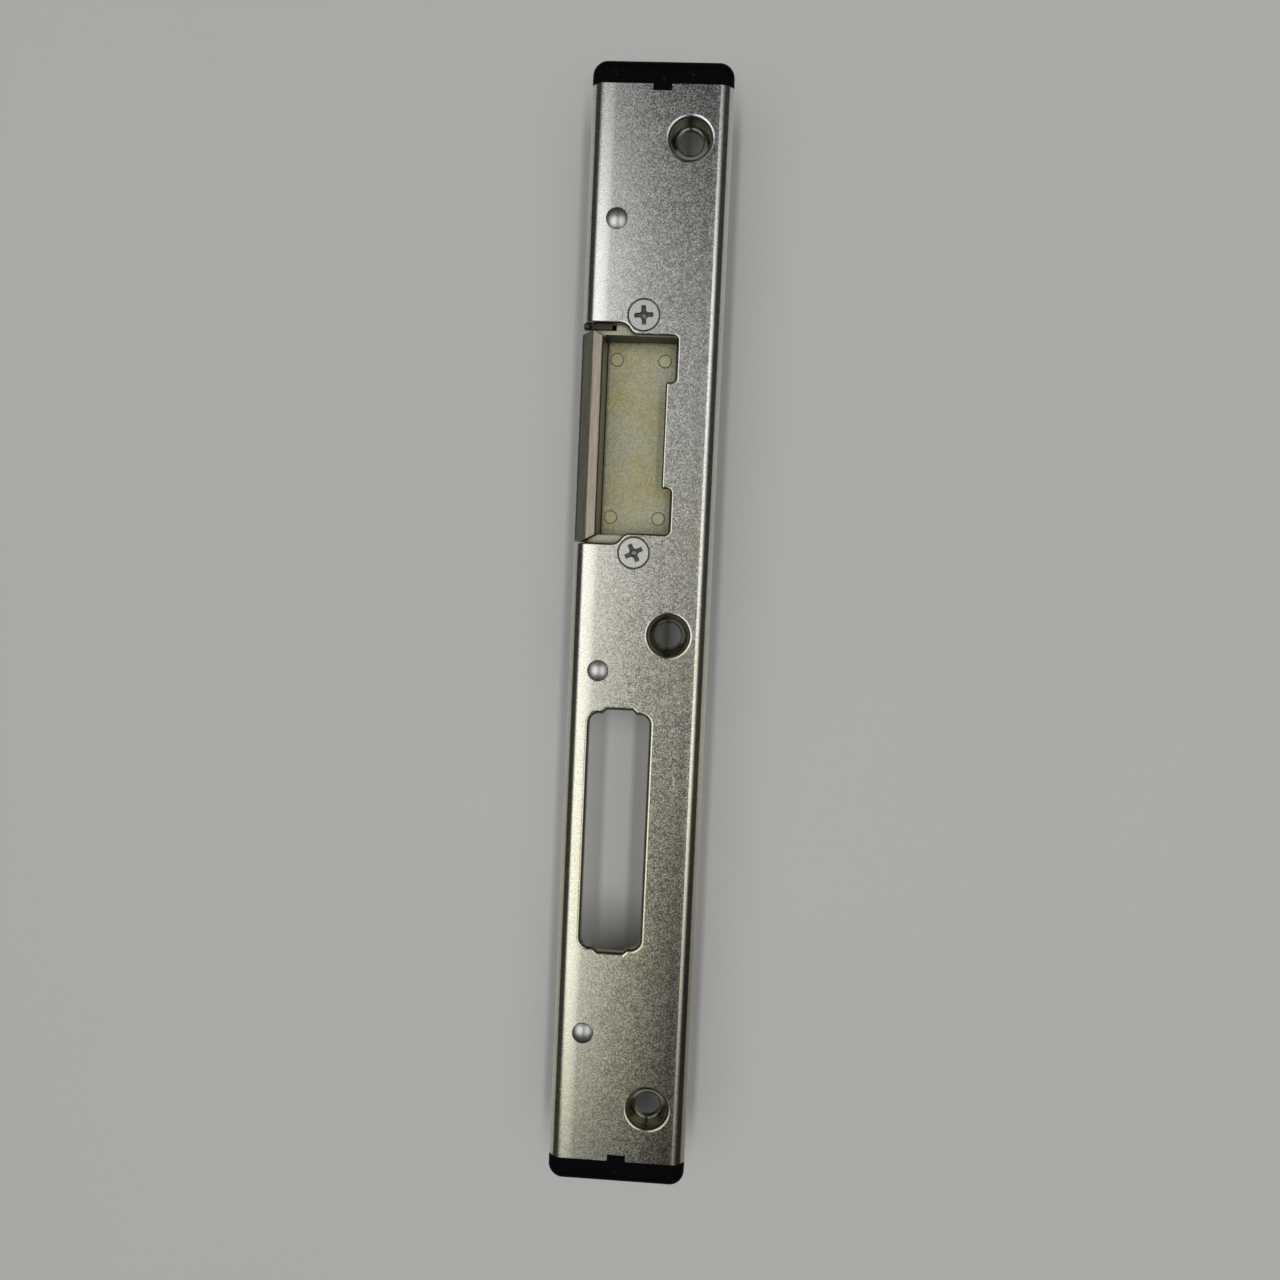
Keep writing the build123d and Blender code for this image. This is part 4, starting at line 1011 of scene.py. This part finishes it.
@dataclass
class Stage:
    """Table top, lights and camera."""

    table_half: float = 2.5
    light_height: float = 2.2
    light_leans: tuple[float, float] = (-3.6, 10.0)
    light_width: float = 0.12
    light_length: float = 1.3
    light_power: float = 13.0
    sensor_width: float = 36.0
    lens: float = 36.06
    camera_place: tuple[float, float, float] = (16.95 * MM, 13.42 * MM, 273.9 * MM)
    camera_lean: tuple[float, float, float] = (-3.048, 3.472, 2.699)
    room: float = 0.33
    low_room: float = 0.04
    shade: Glow = Glow(-5.8, 7.0, -80.0, 80.0, 0.5, 1.0, 0.93)
    glow: Glow = Glow(-4.0, 5.0, -4.0, 13.0, 4.0, 6.0, 0.20)
    panel_left: Glow = Glow(-33.0, 0.0, -23.0, 18.0, 9.0, 6.0, 1.18)
    panel_right: Glow = Glow(0.0, 30.0, -23.0, 18.0, 10.0, 6.0, 0.92)

    def table(self) -> None:
        """Lays the table top at the object's foot."""
        shape = bmesh.new()
        half = self.table_half
        signs = ((-1, -1), (1, -1), (1, 1), (-1, 1))
        shape.faces.new([shape.verts.new((x * half, y * half, 0.0)) for x, y in signs])
        mesh = bpy.data.meshes.new("table_top")
        shape.to_mesh(mesh)
        shape.free()
        top = bpy.data.objects.new("table_top", mesh)
        bpy.context.scene.collection.objects.link(top)
        mesh.materials.append(TableFinish().material())

    def lights(self) -> None:
        """Hangs two long soft lights over the object, one on each side."""
        for name, lean in zip(("light_left", "light_right"), self.light_leans):
            data = bpy.data.lights.new(name, "AREA")
            data.shape = "RECTANGLE"
            data.size = self.light_width
            data.size_y = self.light_length
            data.energy = self.light_power
            data.color = (1.0, 0.99, 0.97)
            lamp = bpy.data.objects.new(name, data)
            lamp.location = (self.light_height * math.tan(math.radians(lean)), 0.0, self.light_height)
            lamp.visible_glossy = False
            bpy.context.scene.collection.objects.link(lamp)

    def surroundings(self) -> None:
        """Fills the room with soft light: two long panels, and a dark gap between them straight overhead."""
        world = bpy.data.worlds.new("room")
        world.use_nodes = True
        world.node_tree.nodes.clear()
        net = Net(world.node_tree)
        way = net.add("ShaderNodeSeparateXYZ", {0: net.add("ShaderNodeTexCoord").outputs["Generated"]})
        leans = [
            net.math("DEGREES", net.math("ARCTAN2", way.outputs[axis], net.math("ABSOLUTE", way.outputs[2])))
            for axis in (0, 1)
        ]
        light = net.span(net.math("ABSOLUTE", way.outputs[2]), 0.6, 0.95, self.low_room, self.room)
        for panel in (self.panel_left, self.panel_right):
            light = net.math("ADD", light, net.math("MULTIPLY", panel.mask(net, *leans), panel.strength))
        dark = net.math("MULTIPLY", self.shade.mask(net, *leans), self.shade.strength)
        light = net.math("MULTIPLY", light, net.math("SUBTRACT", 1.0, dark))
        light = net.math("ADD", light, net.math("MULTIPLY", self.glow.mask(net, *leans), self.glow.strength))
        sky = net.add("ShaderNodeBackground", {"Color": rgb(0.985, 0.99, 1.0), "Strength": light})
        net.add("ShaderNodeOutputWorld", {"Surface": sky.outputs[0]})
        bpy.context.scene.world = world

    def camera(self) -> None:
        """Sets the camera above the plate, leaning a little, as the object is usually shown."""
        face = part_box("faceplate")[1].z
        data = bpy.data.cameras.new("camera")
        data.sensor_width = self.sensor_width
        data.lens = self.lens
        data.clip_start = 0.01
        camera = bpy.data.objects.new("camera", data)
        across, along, above = self.camera_place
        place = Matrix.Translation(Vector((across, along, face + above)))
        lean = Euler([math.radians(angle) for angle in self.camera_lean], "ZYX")
        camera.matrix_world = place @ lean.to_matrix().to_4x4()
        bpy.context.scene.collection.objects.link(camera)
        bpy.context.scene.camera = camera

    def build(self) -> None:
        """Makes the whole stage."""
        self.table()
        self.lights()
        self.surroundings()
        self.camera()
        bpy.context.scene.view_settings.view_transform = "Standard"
        LOG.info("stage ready")


def main() -> None:
    """Loads the frame and builds the stage and the pieces in order."""
    logging.basicConfig(level=logging.INFO, format="%(message)s")
    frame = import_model()
    Stage().build()
    looks = Looks()
    slots = {row["node"]: row["material_slot"] for row in frame["record"]["subparts"]}
    CadNodes(looks, slots).dress(frame["nodes"])
    CoilWinding(looks).build()


if __name__ == "__main__":
    main()
